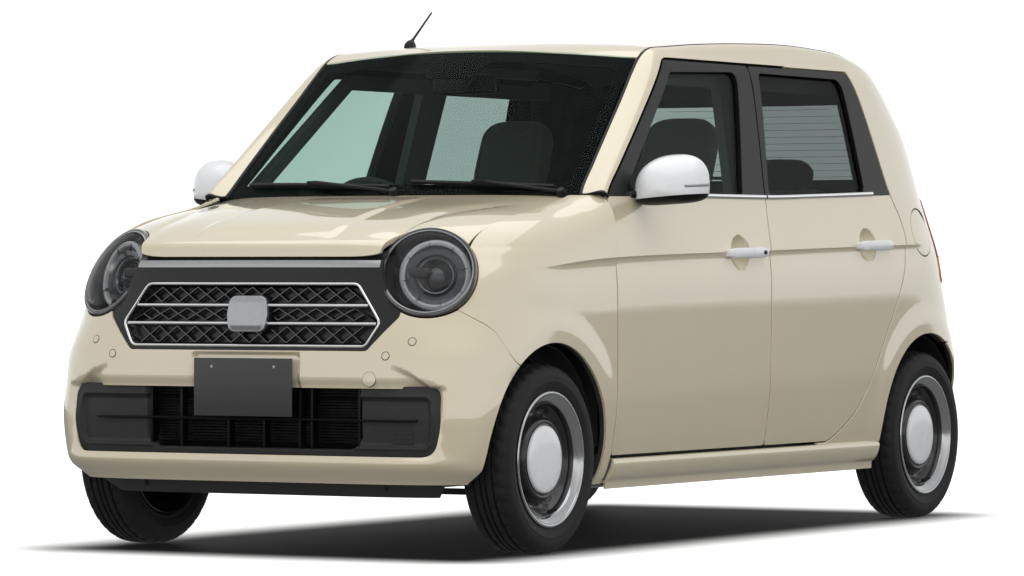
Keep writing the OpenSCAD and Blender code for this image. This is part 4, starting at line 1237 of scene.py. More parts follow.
# ---- headlamps
def lamp_pieces():
    parts = []
    def rv(prof, seg, m, o=LAMP_C, ax=LAX, sx=1.0):
        V, F = revolve(prof, seg, o, ax, LY)
        V = np.asarray(V)
        if o is LAMP_C:
            D = V - LAMP_C
            V = V + np.outer(D @ LY, LY) * .035
        parts.append((V, F, m))
    # bezel, bright edge, bowl
    rv([(.126, -.030), (.1385, -.030), (.1390, -.004), (.1370, .003), (.1335, .0050), (.1300, .004), (.1285, -.002), (.126, -.030)], 96, 0)
    rv([(.1255, .0000), (.1290, .0008), (.1300, .0042), (.1285, .0060), (.1262, .0052), (.1250, .0020), (.1255, .0000)], 96, 1)
    rv([(.0001, -.105), (.080, -.104), (.108, -.085), (.122, -.045), (.1262, .000), (.1285, -.001), (.1265, -.050), (.112, -.092), (.082, -.111), (.0001, -.112)], 72, 2)
    # upright lamp unit inside, set towards the outer side
    l2 = math.radians(14)
    UA = np.array([math.sin(t_) * math.cos(l2), -math.cos(t_) * math.cos(l2), math.sin(l2)])
    UO = LAMP_C + LX * .0165 + LY * .002 - LAX * .012
    rv([(.0860, -.030), (.1020, -.034), (.1040, -.026), (.1010, -.0185), (.0935, -.0150), (.0870, -.0170), (.0850, -.024), (.0860, -.030)], 80, 3, UO, UA)
    rv([(.0001, -.062), (.030, -.060), (.046, -.052), (.050, -.040), (.058, -.038), (.062, -.030), (.072, -.031), (.084, -.026), (.0865, -.030), (.0850, -.050), (.060, -.066), (.0001, -.070)], 80, 4, UO, UA)
    rv([(.046, -.036), (.0485, -.030), (.0515, -.029), (.054, -.033), (.053, -.042), (.047, -.042), (.046, -.036)], 64, 5, UO, UA)
    rv([(.0001, -.022), (.012, -.0235), (.022, -.028), (.030, -.036), (.034, -.046), (.034, -.054), (.0001, -.056)], 56, 6, UO, UA)
    for k in range(8):
        a = k * math.pi / 4 + .2
        U1 = np.cross(UA, LX)
        U1 = unit(U1)
        d = math.cos(a) * LX + math.sin(a) * U1
        sd = np.cross(UA, d)
        V, F = rbox((-.0008, .074, -.0245), (.0008, .094, -.0125), .0004, 1)
        parts.append((turned(V, UO, sd, d, UA), F, 2))
    return merge(parts)


V, F, fm = lamp_pieces()
pair("headlamp", (V, F, fm, None), [GLOSSB, SATIN, GLOSSB, LAMPG, LAMPD, LAMPR, LAMPD], repl=(("headlamps",), ()), slot="lamp_dark", sharp=40)
V, F = revolve([(.1262, .0010), (.118, .0095), (.100, .0170), (.075, .0225), (.040, .0262), (.0001, .0275), (.0001, .0245), (.040, .0232), (.075, .0195), (.100, .0140), (.118, .0065), (.1262, -.0020)], 72, LAMP_C, LAX, LY, closed=True)
D = V - LAMP_C
V = V + np.outer(D @ LY, LY) * .035
pair("headlamp_lens", (V, F, [0] * len(F), None), [LENS], slot="glass")


# ------------------------------------------------------------------ roof and screen
def loft(rings, caps=True):
    """Closed skin through rings of equal point counts."""
    m = len(rings[0])
    F = []
    for i in range(len(rings) - 1):
        for j in range(m):
            j2 = (j + 1) % m
            F.append((i * m + j, i * m + j2, (i + 1) * m + j2, (i + 1) * m + j))
    if caps:
        F.append(tuple(range(m - 1, -1, -1)))
        F.append(tuple((len(rings) - 1) * m + j for j in range(m)))
    return np.vstack(rings), F


ROOF = Spline([(-.46, 1.484), (-.44, 1.487), (-.40, 1.4945), (-.2, 1.518), (.2, 1.546), (.6, 1.559), (1.0, 1.550), (1.2, 1.529), (1.3, 1.512), (1.4, 1.489)])
ROOF_W = Curve([(a[3], a[2]) for a in RAIL])
ROOF_E = Curve([(a[3], a[4]) for a in RAIL])


def roof_z(x, y):
    zc, ze = ROOF(y), ROOF_E(np.minimum(y, 1.285)) + .001
    return zc - (zc - ze) * np.minimum(np.abs(x) / (ROOF_W(np.minimum(y, 1.285)) - .005), 1.1) ** 2.4


def roof_end(x):
    """Rear edge of the roof, just ahead of the tailgate's skin."""
    n = TAIL_N(1.475)
    return 1 + (TAIL_D(1.475) - .042) * np.maximum(1 - np.minimum(np.abs(x) / .616, .999) ** n, 0) ** (1 / n)


def roof_top(x):
    return roof_z(x, roof_end(x)) - .008


def roof_map(u, t):
    y0 = -.446 + .082 * u * u
    y1 = 1.36 + 0 * u
    for _ in range(40):
        y1 = .5 * y1 + .5 * roof_end(u * (ROOF_W(np.minimum(y1, 1.285)) - .005))
    y = y0 + (y1 - y0) * t
    w = ROOF_W(np.minimum(y, 1.285)) - .005
    zc, ze = ROOF(y), ROOF_E(np.minimum(y, 1.285)) + .001
    lip = -.008 * sstep(-.020, .004, y - y1)
    return np.stack([u * w, y, zc - (zc - ze) * np.abs(u) ** 2.4 + lip], -1)


S = sheet(np.concatenate([steps(-1, -.9, .0125), steps(-.88, .88, .03), steps(.9, 1, .0125)]), np.concatenate([steps(.003, .04, .006), steps(.05, .96, .019), steps(.965, 1, .005)]), roof_map)
V, F, fm, N = shell(S, .020, R0, (0, 0, -1))
emit("roof_panel", V, F, [PAINT, HEADLN], fm, N, "body", ("roof",), "body_paint")

# black moulding along the roof and down the screen's sides
s_ = np.concatenate([steps(.004, rt[8], .012), steps(rt[8] + .015, rt[-1], .03)])
path = np.stack([RAILC[2](s_), RAILC[3](s_), RAILC[4](s_) - .0006], 1)
V, F = sweep(path, [(-.0050, -.012), (-.0056, -.001), (-.0042, .0012), (0, .0020), (.0042, .0012), (.0056, -.001), (.0050, -.012)], up=(0, -.35, 1))
pair("roof_moulding", (V, F, [0] * len(F), None), [RUBBER], slot="black_plastic", sharp=40)


def screen_map(u, v, inset=0.0):
    lo = np.stack([u * .612, -.952 + .118 * u * u, 1.044 - .008 * u * u], -1)
    hi = np.stack([u * .5505, -.449 + .085 * u * u, 1.486 - .027 * u * u], -1)
    b = .032 * v * (1 - v) * (1 - u * u * .8)
    P = lo * (1 - v)[..., None] + hi * v[..., None]
    return P + np.stack([0 * u, -b, b], -1) + inset * np.stack([0 * u, .70 + 0 * u, -.71 + 0 * u], -1)


S = sheet(steps(-.992, .992, .031), steps(-.01, .994, .04), screen_map)
V, F, fm, N = shell(S, .0045, .0004)
emit("windscreen_glass", V, F, [GLASSW], [0] * len(F), N, "body", ("windscreen",), "glass")
f_scr = poly_sdf(rounded([(-.935, .075), (-.21, .060), (.21, .060), (.935, .075), (.930, .905), (.20, .925), (.155, .800), (-.155, .800), (-.20, .925), (-.930, .905)], [.05, 0, 0, .05, .06, .02, .03, .03, .02, .06]))
S = sheet(steps(-.990, .990, .025), steps(-.01, .993, .026), lambda u, v: screen_map(u, v, .0055))
S = S.clip(lambda P, U: -f_scr(U[:, 0], U[:, 1]))
V, F, fm, N = shell(S, .003, .0003)
emit("windscreen_border", V, F, [BORDER, BORDER], fm, N, "body", (), "black_plastic")

# cowl panel behind the bonnet, with slots
def cowl_map(x, t):
    y0 = -.956 + .118 * (x / .6) ** 2
    return np.stack([x, y0 + .060 * t, 1.0235 - .010 * (x / .6) ** 2 + .012 * t], -1)


S = sheet(steps(-.600, .600, .02), steps(0, 1, .12), cowl_map)
V, F, fm, N = shell(S, .010, .001, (0, 0, -1))
parts = [(V, F, 0)]
for x0 in steps(-.54, .54, .030):
    p = cowl_map(np.array([x0]), np.array([.25]))[0]
    V, F = rbox(p + [-.011, -.008, -.002], p + [.011, .006, .0016], .001, 1)
    parts.append((V, F, 1))
V, F, fm = merge(parts)
emit("cowl_panel", V, F, [PLASTIC, BLACK], fm, None, "body", (), "black_plastic", sharp=35)


# wipers at rest along the screen's lower edge
def on_screen(u, v, out):
    u, v = np.atleast_1d(np.asarray(u, float)), np.atleast_1d(np.asarray(v, float))
    return screen_map(u, v, -out)


parts = []
for ua, va, ub, vb, up_, vp in ((-.86, .066, .05, .028, .10, -.020), (.16, .058, .88, .040, .93, -.012)):
    uu = np.linspace(ua, ub, 26)
    vv = np.linspace(va, vb, 26)
    V, F = sweep(on_screen(uu, vv, .0075), [(-.0022, -.0065), (-.0010, -.0065), (.0010, -.0065), (.0022, -.0065), (.0048, .0010), (.0040, .0050), (0, .0072), (-.0040, .0050), (-.0048, .0010)][::-1], up=(0, -.70, .71))
    parts.append((V, F, 0))
    um, vm = (ua + ub) / 2, (va + vb) / 2
    ua2 = np.linspace(up_, um, 18)
    va2 = np.linspace(vp, vm, 18)
    V, F = sweep(on_screen(ua2, va2, .0195 + .006 * np.sin(np.linspace(0, 3.1, 18))[:, None] * 0), circle(.0062, 10, .0042), up=(0, -.70, .71))
    parts.append((V, F, 1))
    pv = on_screen(up_, vp, .004)[0]
    V, F = revolve([(.0001, .022), (.010, .021), (.0135, .016), (.0140, -.020), (.0001, -.020)], 24, pv, (0, -.6, .8), (1, 0, 0))
    parts.append((V, F, 1))
    pm = on_screen(um, vm, .0135)[0]
    V, F = rbox(pm - [.024, .007, .006], pm + [.024, .007, .008], .003, 2)
    parts.append((V, F, 1))
V, F, fm = merge(parts)
emit("wipers", V, F, [RUBBER, BLACK], fm, None, "body", (), "black_plastic", sharp=40)

# inside mirror and sensor housing
V, F = rbox((-.115, -.452, 1.352), (.115, -.425, 1.412), .012, 4)
V2, F2 = rbox((-.055, -.545, 1.375), (.055, -.470, 1.425), .012, 3)
V2[:, 2] += (V2[:, 1] + .51) * .75
V3, F3 = sweep([(0, -.50, 1.410), (0, -.475, 1.398), (0, -.446, 1.385)], circle(.009, 12), up=(1, 0, 0))
V, F, fm = merge([(V, F, 0), (V2, F2, 0), (V3, F3, 0)])
emit("inside_mirror", V, F, [BLACK], fm, None, "body", (), "black_plastic", sharp=40)
V, F = rbox((-.106, -.4262, 1.360), (.106, -.4235, 1.404), .001, 2)
emit("inside_mirror_glass", V, F, [MIRRORG], None, None, "body", (), "glass", sharp=40)

# ------------------------------------------------------------------ sill
SILL = [(.690, .2640), (.702, .2648), (.7130, .2630), (.7185, .2585), (.7205, .2500), (.7190, .2400), (.7150, .2270), (.7080, .2130), (.7010, .2040), (.6930, .1985),
        (.6915, .1955), (.6910, .1760), (.6885, .1745), (.6855, .1760), (.6850, .1930), (.66, .1890), (.616, .1880), (.616, .2600)]
ysl = steps(-.8625, .976, .03)
sec = np.array(SILL)
rings = []
for y in ysl:
    r_ = np.stack([sec[:, 0] + 0 * sec[:, 0], np.full(len(sec), y), sec[:, 1]], 1)
    rings.append(r_)
V, F = loft(rings)
top = .2645
keep = ysl >= -.8265
rings2 = [r_ for r_, k in zip(rings, keep) if k]
V, F = loft(rings2)
pair("sill", (V, F, [0] * len(F), None), [PAINT], slot="body_paint", sharp=45)


# ------------------------------------------------------------------ mirrors
def outline(th, ax, up, dn):
    c, s = np.cos(th), np.sin(th)
    n = np.where(s > 0, np.where(c > 0, 2.5, 2.25), 4.2)
    x = np.sign(c) * np.abs(c) ** (2 / n) * ax
    z = np.sign(s) * np.abs(s) ** (2 / n) * np.where(s > 0, up, dn)
    return x, z


def mirror_pieces():
    th = np.linspace(0, 2 * math.pi, 72, endpoint=False)
    yr, cx, cz = -.572, .7935, 1.062
    rings = []

    def ring(k, y, t=0.0):
        x, z = outline(th, .1040 * k, .0950 * k, .0520 * k)
        z = z + .006 * (x / .0945) * 1.0
        rings.append(np.stack([cx - .006 * t + x, np.full(len(th), y) + .018 * x / .0945 * 0 + .020 * (x / .095), cz - .010 * t + z], 1))
    ring(.900, yr - .007)
    ring(.925, yr - .007)
    ring(.950, yr - .0008)
    ring(.975, yr)
    ring(.994, yr - .0018)
    ring(1.0, yr - .006)
    for t in np.linspace(.10, 1, 17)[:-1]:
        ring(float((1 - t ** 2.3) ** (1 / 2.3)), yr - .006 - .094 * t, t)
    ring(.06, yr - .1003, 1.0)
    V, F = loft(rings)
    m = len(th)
    # a clean parting line between the white cap and the black underside
    bm = bmesh.new()
    vs = [bm.verts.new(v) for v in V]
    for i, f in enumerate(F):
        bm.faces.new([vs[k] for k in f]).material_index = 2 if i == len(F) - 2 else 1 if i < 3 * m else 0
    bmesh.ops.bisect_plane(bm, geom=bm.verts[:] + bm.edges[:] + bm.faces[:], dist=1e-5, plane_co=(.7955, 0, 1.0315), plane_no=(-.008 / .09, 0, 1))
    bm.verts.index_update()
    V = np.array([v.co[:] for v in bm.verts])
    F = [tuple(v.index for v in f.verts) for f in bm.faces]
    fm = [f.material_index for f in bm.faces]
    bm.free()
    for i, f in enumerate(F):
        c = V[list(f)].mean(axis=0)
        if fm[i] == 0 and c[2] < 1.0315 + .008 * (c[0] - .7955) / .09:
            fm[i] = 1
    return V, F, fm


V, F, fm = mirror_pieces()
parts = [(V, F, fm)]
# foot
rings = []
for k, (x, y, z, a, b) in enumerate([(.672, -.640, 1.0385, .040, .0115), (.690, -.638, 1.0385, .040, .0115), (.712, -.628, 1.0390, .036, .0110), (.735, -.612, 1.0400, .034, .0100), (.762, -.598, 1.0410, .034, .0095), (.790, -.590, 1.042, .030, .008)]):
    th = np.linspace(0, 2 * math.pi, 28, endpoint=False)
    rings.append(np.stack([np.full(28, x), y + np.sign(np.cos(th)) * np.abs(np.cos(th)) ** .6 * a, z + np.sign(np.sin(th)) * np.abs(np.sin(th)) ** .6 * b], 1))
V, F = loft(rings)
parts.append((V, F, 1))
# bright blade on the outer side
th = np.linspace(-.02, .62, 22)
pts = []
for tt in np.linspace(.03, .80, 24):
    k = float((1 - tt ** 2.3) ** (1 / 2.3))
    zt = 1.0665 - .004 * tt
    x0, z0 = outline(np.linspace(-.5, 1.2, 400), .1040 * k, .0950 * k, .0520 * k)
    zz_ = 1.062 - .010 * tt + z0 + .006 * (x0 / .0945)
    j = int(np.argmin(np.abs(zz_ - zt)))
    pts.append((.7935 - .006 * tt + x0[j] + .0002, -.572 - .006 - .094 * tt + .020 * (x0[j] / .095), zt))
V, F = sweep(np.array(pts), circle(.0026, 10, .0042), up=(0, 0, 1))
parts.append((V, F, 3))
V, F, fm = merge(parts)
pair("door_mirror", (V, F, fm, None), [WHITE, BLACK, MIRRORG, SATIN], ("front_door_left", "front_door_right"), (("door_mirror_left",), ("door_mirror_right",)), "white_trim", sharp=50)


# ------------------------------------------------------------------ door handles
def handle(y0, y1, zc, name, bodies, button):
    parts = []
    n = 40
    t = np.linspace(0, 1, n)
    y = y0 + (y1 - y0) * t
    z = zc + (CREASE(y) - CREASE((y0 + y1) / 2)) * .8
    lift = .0295 * (1 - np.abs(2 * t - 1) ** 5.0) ** .5 - .004
    x = side_x(y, z) + lift - .004
    k = np.clip(1 - np.abs(2 * t - 1) ** 9, 0, 1) ** .5
    rings = []
    th = np.linspace(0, 2 * math.pi, 28, endpoint=False)
    for i in range(n):
        a, b = .0068 * max(k[i], .25), .0160 * max(k[i], .22)
        if button and t[i] > .84:
            b *= .97
        rings.append(np.stack([x[i] + np.sign(np.cos(th)) * np.abs(np.cos(th)) ** .8 * a, np.full(28, y[i]), z[i] + np.sign(np.sin(th)) * np.abs(np.sin(th)) ** .8 * b], 1))
    V, F = loft(rings)
    parts.append((V, F, 0))
    for e in (0, 1):
        ye, ze = (y0 + .016 if e == 0 else y1 - .018), z[0 if e == 0 else -1]
        xs_ = float(side_x(np.array(ye), np.array(ze)))
        V, F = rbox((xs_ - .010, ye - .014, ze - .0115), (xs_ + .019, ye + .014, ze + .0115), .005, 3)
        parts.append((V, F, 0))
    if button:
        yb = y1 - .050
        zb = float(zc + (CREASE(yb) - CREASE((y0 + y1) / 2)) * .8)
        xb = float(side_x(np.array(yb), np.array(zb))) + .0295
        V, F = rbox((xb - .006, yb - .009, zb - .006), (xb + .0006, yb + .009, zb + .006), .003, 3)
        parts.append((V, F, 1))
    V, F, fm = merge(parts)
    pair(name, (V, F, fm, None), [WHITE, BLACK], bodies, slot="white_trim", sharp=50)


handle(-.126, .139, .868, "front_handle", ("front_door_left", "front_door_right"), True)
handle(.789, 1.035, .894, "rear_handle", ("rear_door_left", "rear_door_right"), False)


# ------------------------------------------------------------------ wheels and tyres
def tyre_mesh(o, ax):
    half_ = [(.1815, .0585), (.1850, .0640), (.1895, .0675), (.1940, .0690), (.1975, .0683), (.2000, .0690), (.2080, .0728), (.2180, .0757), (.2215, .0764), (.2228, .0772), (.2242, .0772), (.2255, .0768),
             (.2340, .0772), (.2430, .0764), (.2500, .0744), (.2555, .0714), (.2600, .0676), (.2618, .0668), (.2650, .0630), (.2680, .0585), (.2703, .0530), (.2716, .0470), (.2724, .0410), (.2728, .0360), (.2726, .0345),
             (.2668, .0335), (.2665, .0280), (.2728, .0268), (.2734, .0255), (.2737, .0190), (.2739, .0130), (.2737, .0116), (.2675, .0106), (.2672, .0060), (.2737, .0048), (.2740, .0036), (.2740, .0012)]
    prof = half_ + [(r, -h) for r, h in half_[::-1]]
    inner = [(.1740, -.0560), (.1720, -.040), (.1720, .040), (.1740, .0560)]
    seg = 190
    V, F = revolve(prof + inner, seg, o, ax, (0, 0, 1), closed=True)
    V = V.reshape(len(prof) + len(inner), seg, 3)
    o, ax = np.asarray(o, float), np.asarray(ax, float)
    for i, (r, h) in enumerate(prof):
        if r < .2575:
            continue
        ah = abs(h)
        for j in range(seg):
            ph = j % 5
            if ah > .0355:
                d = .0050 if ph == int(ah > .050) % 5 else 0.0
            elif ah > .012:
                d = .0034 if j % 10 == (3 if h > 0 else 8) else 0.0
            else:
                d = 0.0
            if d:
                c = V[i, j] - o
                rad = c - ax * (c @ ax)
                V[i, j] -= rad / np.linalg.norm(rad) * d * (.6 if ah > .062 else 1)
    return V.reshape(-1, 3), F


DISC = Curve([(.0, .0440), (.094, .0440), (.100, .0450), (.1035, .0480), (.1085, .0500), (.1130, .0485), (.1170, .0420), (.1215, .0320), (.1270, .0240), (.1330, .0215), (.1400, .0235), (.1480, .0310), (.1540, .0395), (.1580, .0430)])


def wheel_mesh(o, ax):
    o, ax = np.asarray(o, float), np.asarray(ax, float)
    parts = []
    seg = 120
    rs = np.concatenate([[.0005, .05], steps(.092, .158, .0022)])
    front = [(r, float(DISC(r))) for r in rs]
    back = [(r, float(DISC(r)) - .006) for r in rs[::-1]]
    V, F = revolve(front + back, seg, o, ax, (0, 0, 1), closed=True)
    W = V.reshape(-1, seg, 3)
    th = np.linspace(0, 2 * math.pi, seg, endpoint=False)
    pitch = 2 * math.pi / 16
    for i in range(len(front)):
        r = front[i][0]
        if r < .124 or r > .152:
            continue
        a = (th + pitch / 2) % pitch - pitch / 2
        d = np.hypot((r - .1375) / 1.0, a * r * .92)
        W[i] -= np.outer(.0048 * (1 - sstep(.0062, .0088, d)), ax)
    parts.append((W.reshape(-1, 3), F, 0))
    # rim barrel with its bead seats
    V, F = revolve([(.1570, .0470), (.1600, .0540), (.1690, .0580), (.1790, .0640), (.1838, .0690), (.1815, .0640), (.1760, .0560), (.1735, .0520), (.1715, .0300), (.1600, .0200), (.1590, -.0150), (.1715, -.0250), (.1735, -.0520), (.1830, -.0660), (.1800, -.0690),
                    (.1690, -.0540), (.1660, -.0280), (.1545, -.0170), (.1545, .0330)], 76, o, ax, (0, 0, 1), closed=True)
    parts.append((V, F, 0))
    # bright trim ring
    V, F = revolve([(.1945, .0700), (.1950, .0722), (.1935, .0740), (.1905, .0748), (.1875, .0742), (.1850, .0722), (.1838, .0702), (.1815, .0690), (.1760, .0662), (.1700, .0622), (.1650, .0580), (.1610, .0525), (.1588, .0465), (.1572, .0425),
                    (.1590, .0425), (.1625, .0500), (.1720, .0590), (.1838, .0672), (.1880, .0700)], 144, o, ax, (0, 0, 1), closed=True)
    parts.append((V, F, 1))
    # plain hub cap
    V, F = revolve([(.0003, .0604), (.030, .0602), (.060, .0594), (.082, .0582), (.0920, .0567), (.0958, .0545), (.0972, .0515), (.0975, .0450), (.0940, .0430), (.0003, .0430)], 76, o, ax, (0, 0, 1), closed=True)
    parts.append((V, F, 2))
    V, F = revolve([(.0990, .0440), (.0992, .0485), (.1006, .0500), (.1022, .0492), (.1026, .0440)], 76, o, ax, (0, 0, 1), closed=True)
    parts.append((V, F, 3))
    # valve
    up = np.array([0, .26, -.966])
    v0 = o + up * .1585 + ax * .040
    V, F = revolve([(.0003, .034), (.0030, .0335), (.0042, .030), (.0042, .014), (.0060, .010), (.0064, .000), (.0003, .000)], 20, v0, unit(ax * .94 - up * .34), (0, 1, 0), closed=True)
    parts.append((V, F, 4))
    # hub and brake drum on the inner side
    V, F = revolve([(.0005, .0375), (.070, .0370), (.098, .0330), (.1000, .0260), (.1000, -.0060), (.0960, -.0100), (.0005, -.0100)], 64, o, ax, (0, 0, 1), closed=True)
    parts.append((V, F, 5))
    return merge(parts)


for nm, x, y in (("front_left", .6525, AXF), ("front_right", -.6525, AXF), ("rear_left", .6525, AXR), ("rear_right", -.6525, AXR)):
    ax = (1.0 if x > 0 else -1.0, 0, 0)
    V, F = tyre_mesh((x, y, WZ), ax)
    emit("tyre_" + nm + "_tread", V, F, [TYRE], None, None, "wheel_" + nm, ("tyre_" + nm,), "tyre", sharp=32)
    V, F, fm = wheel_mesh((x, y, WZ), ax)
    emit("wheel_" + nm + "_steel", V, F, [WHEELB, RINGM, WHITE, GLOSSB, RUBBER, ENGINE], fm, None, "wheel_" + nm, ("wheel_" + nm,), "wheel_steel", sharp=38)


# ------------------------------------------------------------------ rear end
GATE_F = Curve([(.60, 50.2), (.70, 50.0), (.98, 50.0), (1.055, 49.6), (1.14, 46.0), (1.236, 42.2), (1.30, 41.0), (1.356, 40.6), (1.41, 41.4), (1.445, 42.0), (1.468, 43.2), (1.482, 44.4), (1.50, 46.5)])


def tail_map(f, z, inset=0.0):
    f = f * D2R
    a, d, n = A(z), TAIL_D(z), TAIL_N(z)
    r = polar(a, d, n, f)
    x, y = r * np.cos(f), 1 + r * np.sin(f)
    nx = np.sign(x) * (np.abs(x) / a) ** (n - 1) / a
    ny = (np.maximum(y - 1, 0) / d) ** (n - 1) / d
    L = np.hypot(nx, ny) + 1e-9
    i = inset(x, z) if callable(inset) else inset
    return np.stack([x - i * nx / L, y - i * ny / L, z], -1)


GWIN = rounded([(-.468, 1.088), (.468, 1.088), (.438, 1.392), (-.438, 1.392)], [.05, .05, .06, .06])
f_gwin = poly_sdf(GWIN)
f_pull = poly_sdf(rounded([(-.17, .640), (.17, .640), (.15, .705), (-.15, .705)], .02))
f_pad = poly_sdf(rounded([(-.050, .945), (.050, .945), (.050, 1.005), (-.050, 1.005)], .02))


def gate_in(x, z):
    return .020 * sstep(.0, .014, f_pull(x, z)) + .006 * np.exp(-((z - .915) / .010) ** 2) * (1 - sstep(.46, .52, np.abs(x)))


S = sheet(steps(39.5, 140.5, .75), np.concatenate([steps(.616, 1.06, .0115), steps(1.068, 1.40, .0115), steps(1.41, 1.493, .006)]), lambda f, z: tail_map(f, z, gate_in))
S = S.clip(lambda P, U: (90 - np.abs(U[:, 0] - 90)) - GATE_F(U[:, 1]) - .22)
S = S.clip(lambda P, U: P[:, 2] - .6215)
S = S.clip(lambda P, U: roof_top(P[:, 0]) - .002 - P[:, 2])
S = S.clip(lambda P, U: -f_gwin(P[:, 0], P[:, 2]) - R0)
V, F, fm, N = shell(S, .030, R0, (0, -1, 0))
emit("tailgate_skin", V, F, [PAINT, PLASTIC], fm, N, "tailgate", ("tailgate",), "body_paint")
S = sheet(steps(38, 142, 1.6), steps(1.075, 1.405, .02), lambda f, z: tail_map(f, z, .010))
S = S.clip(lambda P, U: f_gwin(P[:, 0], P[:, 2]) + .008)
V, F, fm, N = shell(S, .004, .0003, (0, -1, 0))
emit("tailgate_window", V, F, [GLASSR], [0] * len(F), N, "tailgate", ("tailgate_glass",), "privacy_glass")
S = sheet(steps(38, 142, 1.4), steps(1.075, 1.405, .015), lambda f, z: tail_map(f, z, .0150))
S = S.clip(lambda P, U: f_gwin(P[:, 0], P[:, 2]) + .008)
f_gin = poly_sdf(rounded([(-.440, 1.118), (.440, 1.118), (.412, 1.366), (-.412, 1.366)], .04))
S = S.clip(lambda P, U: -f_gin(P[:, 0], P[:, 2]))
V, F, fm, N = shell(S, .002, .0003, (0, -1, 0))
emit("tailgate_window_border", V, F, [GLOSSB, BLACK], fm, N, "tailgate", (), "black_plastic")
parts = []
for k in range(11):
    z = 1.128 + k * .0225
    f = steps(57.5, 122.5, 2.0)
    P = tail_map(f, np.full_like(f, z), .0148)
    P = P[np.abs(P[:, 0]) < .43 - .07 * (z - 1.1)]
    V, F = sweep(P, circle(.0007, 6), up=(0, 0, 1))
    parts.append((V, F, 0))
for x0 in (-.418, .418):
    zz_ = steps(1.125, 1.358, .02)
    y_ = 1 + TAIL_D(zz_) * sup(np.abs(x0) / A(zz_), TAIL_N(zz_)) - .0150
    V, F = sweep(np.stack([np.full_like(zz_, x0 * 1.0), y_, zz_], 1), circle(.0022, 6, .0008), up=(0, 1, 0))
    parts.append((V, F, 0))
V, F, fm = merge(parts)
emit("rear_heater_lines", V, F, [CHASSIS], fm, None, "tailgate", (), "black_plastic")


def tail_y(x, z):
    return 1 + TAIL_D(z) * sup(np.abs(x) / A(z), TAIL_N(z))


# rear wiper, high lamp, pull and plain pad
parts = []
xs_ = np.linspace(-.33, .04, 24)
zs_ = 1.122 + .010 * np.linspace(1, 0, 24)
V, F = sweep(np.stack([xs_, tail_y(xs_, zs_) + .000, zs_], 1), circle(.0050, 10, .0060), up=(0, 0, 1))
parts.append((V, F, 0))
xs_ = np.linspace(-.15, 0, 14)
zs_ = np.linspace(1.128, 1.090, 14)
V, F = sweep(np.stack([xs_, tail_y(xs_, zs_) + .011, zs_], 1), circle(.0065, 10, .0055), up=(0, 0, 1))
parts.append((V, F, 0))
V, F = revolve([(.0003, .024), (.014, .0235), (.019, .019), (.020, .0), (.020, -.012), (.0003, -.012)], 28, (0, float(tail_y(np.array(0.0), np.array(1.075))), 1.075), (0, 1, .16), (1, 0, 0), closed=True)
parts.append((V, F, 0))
V, F, fm = merge(parts)
emit("rear_wiper", V, F, [BLACK], fm, None, "tailgate", (), "black_plastic", sharp=40)
S = sheet(steps(-.155, .155, .01), steps(1.428, 1.446, .003), lambda x, z: np.stack([x, tail_y(x, z) + .0015, z], -1), flip=True)
V, F, fm, N = shell(S, .010, .0015, (0, -1, 0))
emit("high_brake_lamp", V, F, [REDL, BLACK], fm, N, "tailgate", (), "lamp_red")
S = sheet(steps(-.050, .050, .004), steps(.945, 1.005, .004), lambda x, z: np.stack([x, tail_y(x, z) + .0015 + .003 * sstep(0, .012, f_pad(x, z)), z], -1), flip=True)
S = S.clip(lambda P, U: f_pad(P[:, 0], P[:, 2]))
V, F, fm, N = shell(S, .006, .001, (0, -1, 0))
emit("tailgate_pad", V, F, [SATIN, PLASTIC], fm, N, "tailgate", (), "white_trim")
V, F = rbox((-.135, float(tail_y(np.array(0.), np.array(.69))) - .022, .684), (.135, float(tail_y(np.array(0.), np.array(.69))) - .003, .699), .004, 3)
emit("tailgate_pull", V, F, [BLACK], None, None, "tailgate", (), "black_plastic", sharp=40)

# corners beside the tailgate, above and below the lamps
for nm, z0, z1 in (("rear_corner_upper", 1.0580, 1.4900), ("rear_corner_lower", .6170, .7680)):
    S = sheet(steps(24, 62, .55), steps(z0, z1, .010), lambda f, z: tail_map(f, z, .0004))
    S = S.clip(lambda P, U: GATE_F(U[:, 1]) - U[:, 0] - .22)
    S = S.clip(lambda P, U: P[:, 1] - QR(P[:, 2]) + .006)
    S = S.clip(lambda P, U: np.where(P[:, 1] < 1.2845, RAILC[1](np.interp(P[:, 1], rl[:, 0], rt)) - P[:, 2] + .002, roof_top(P[:, 0]) + .001 - P[:, 2]))
    pair(nm, shell(S, .022, R0), [PAINT, UNDER], slot="body_paint")
# tail lamps
for nm, z0, z1, m in (("tail_lamp_upper", .8600, 1.0545, REDL), ("tail_lamp_lower", .7715, .8560, AMBER)):
    S = sheet(steps(24, 52, .5), steps(z0, z1, .006), lambda f, z: tail_map(f, z, -.0045 + .0035 * sstep(.012, .0, np.minimum(z - .7715, 1.0545 - z))))
    S = S.clip(lambda P, U: 49.35 - U[:, 0])
    S = S.clip(lambda P, U: P[:, 1] - QR(P[:, 2]) - .003)
    V, F, fm, N = shell(S, .030, .0022)
    pair(nm, (V, F, fm, N), [m, LAMPD], repl=((("tail_lamps",) if nm.endswith("upper") else ()), ()), slot="lamp_red")
parts = []
for z in (.858,):
    f = steps(35.5, 49.2, .7)
    V, F = sweep(tail_map(f, np.full_like(f, z), -.0050), circle(.0024, 8), up=(0, 0, 1))
    parts.append((V, F, 0))
V, F, fm = merge(parts)
pair("tail_lamp_rib", (V, F, fm, None), [SATIN], slot="white_trim", sharp=50)

# rear bumper
f_rplate = poly_sdf(rounded([(-.185, .388), (.185, .388), (.185, .584), (-.185, .584)], .012))
f_rlow = poly_sdf(rounded([(-.48, .150), (.48, .150), (.43, .300), (-.43, .300)], .03))


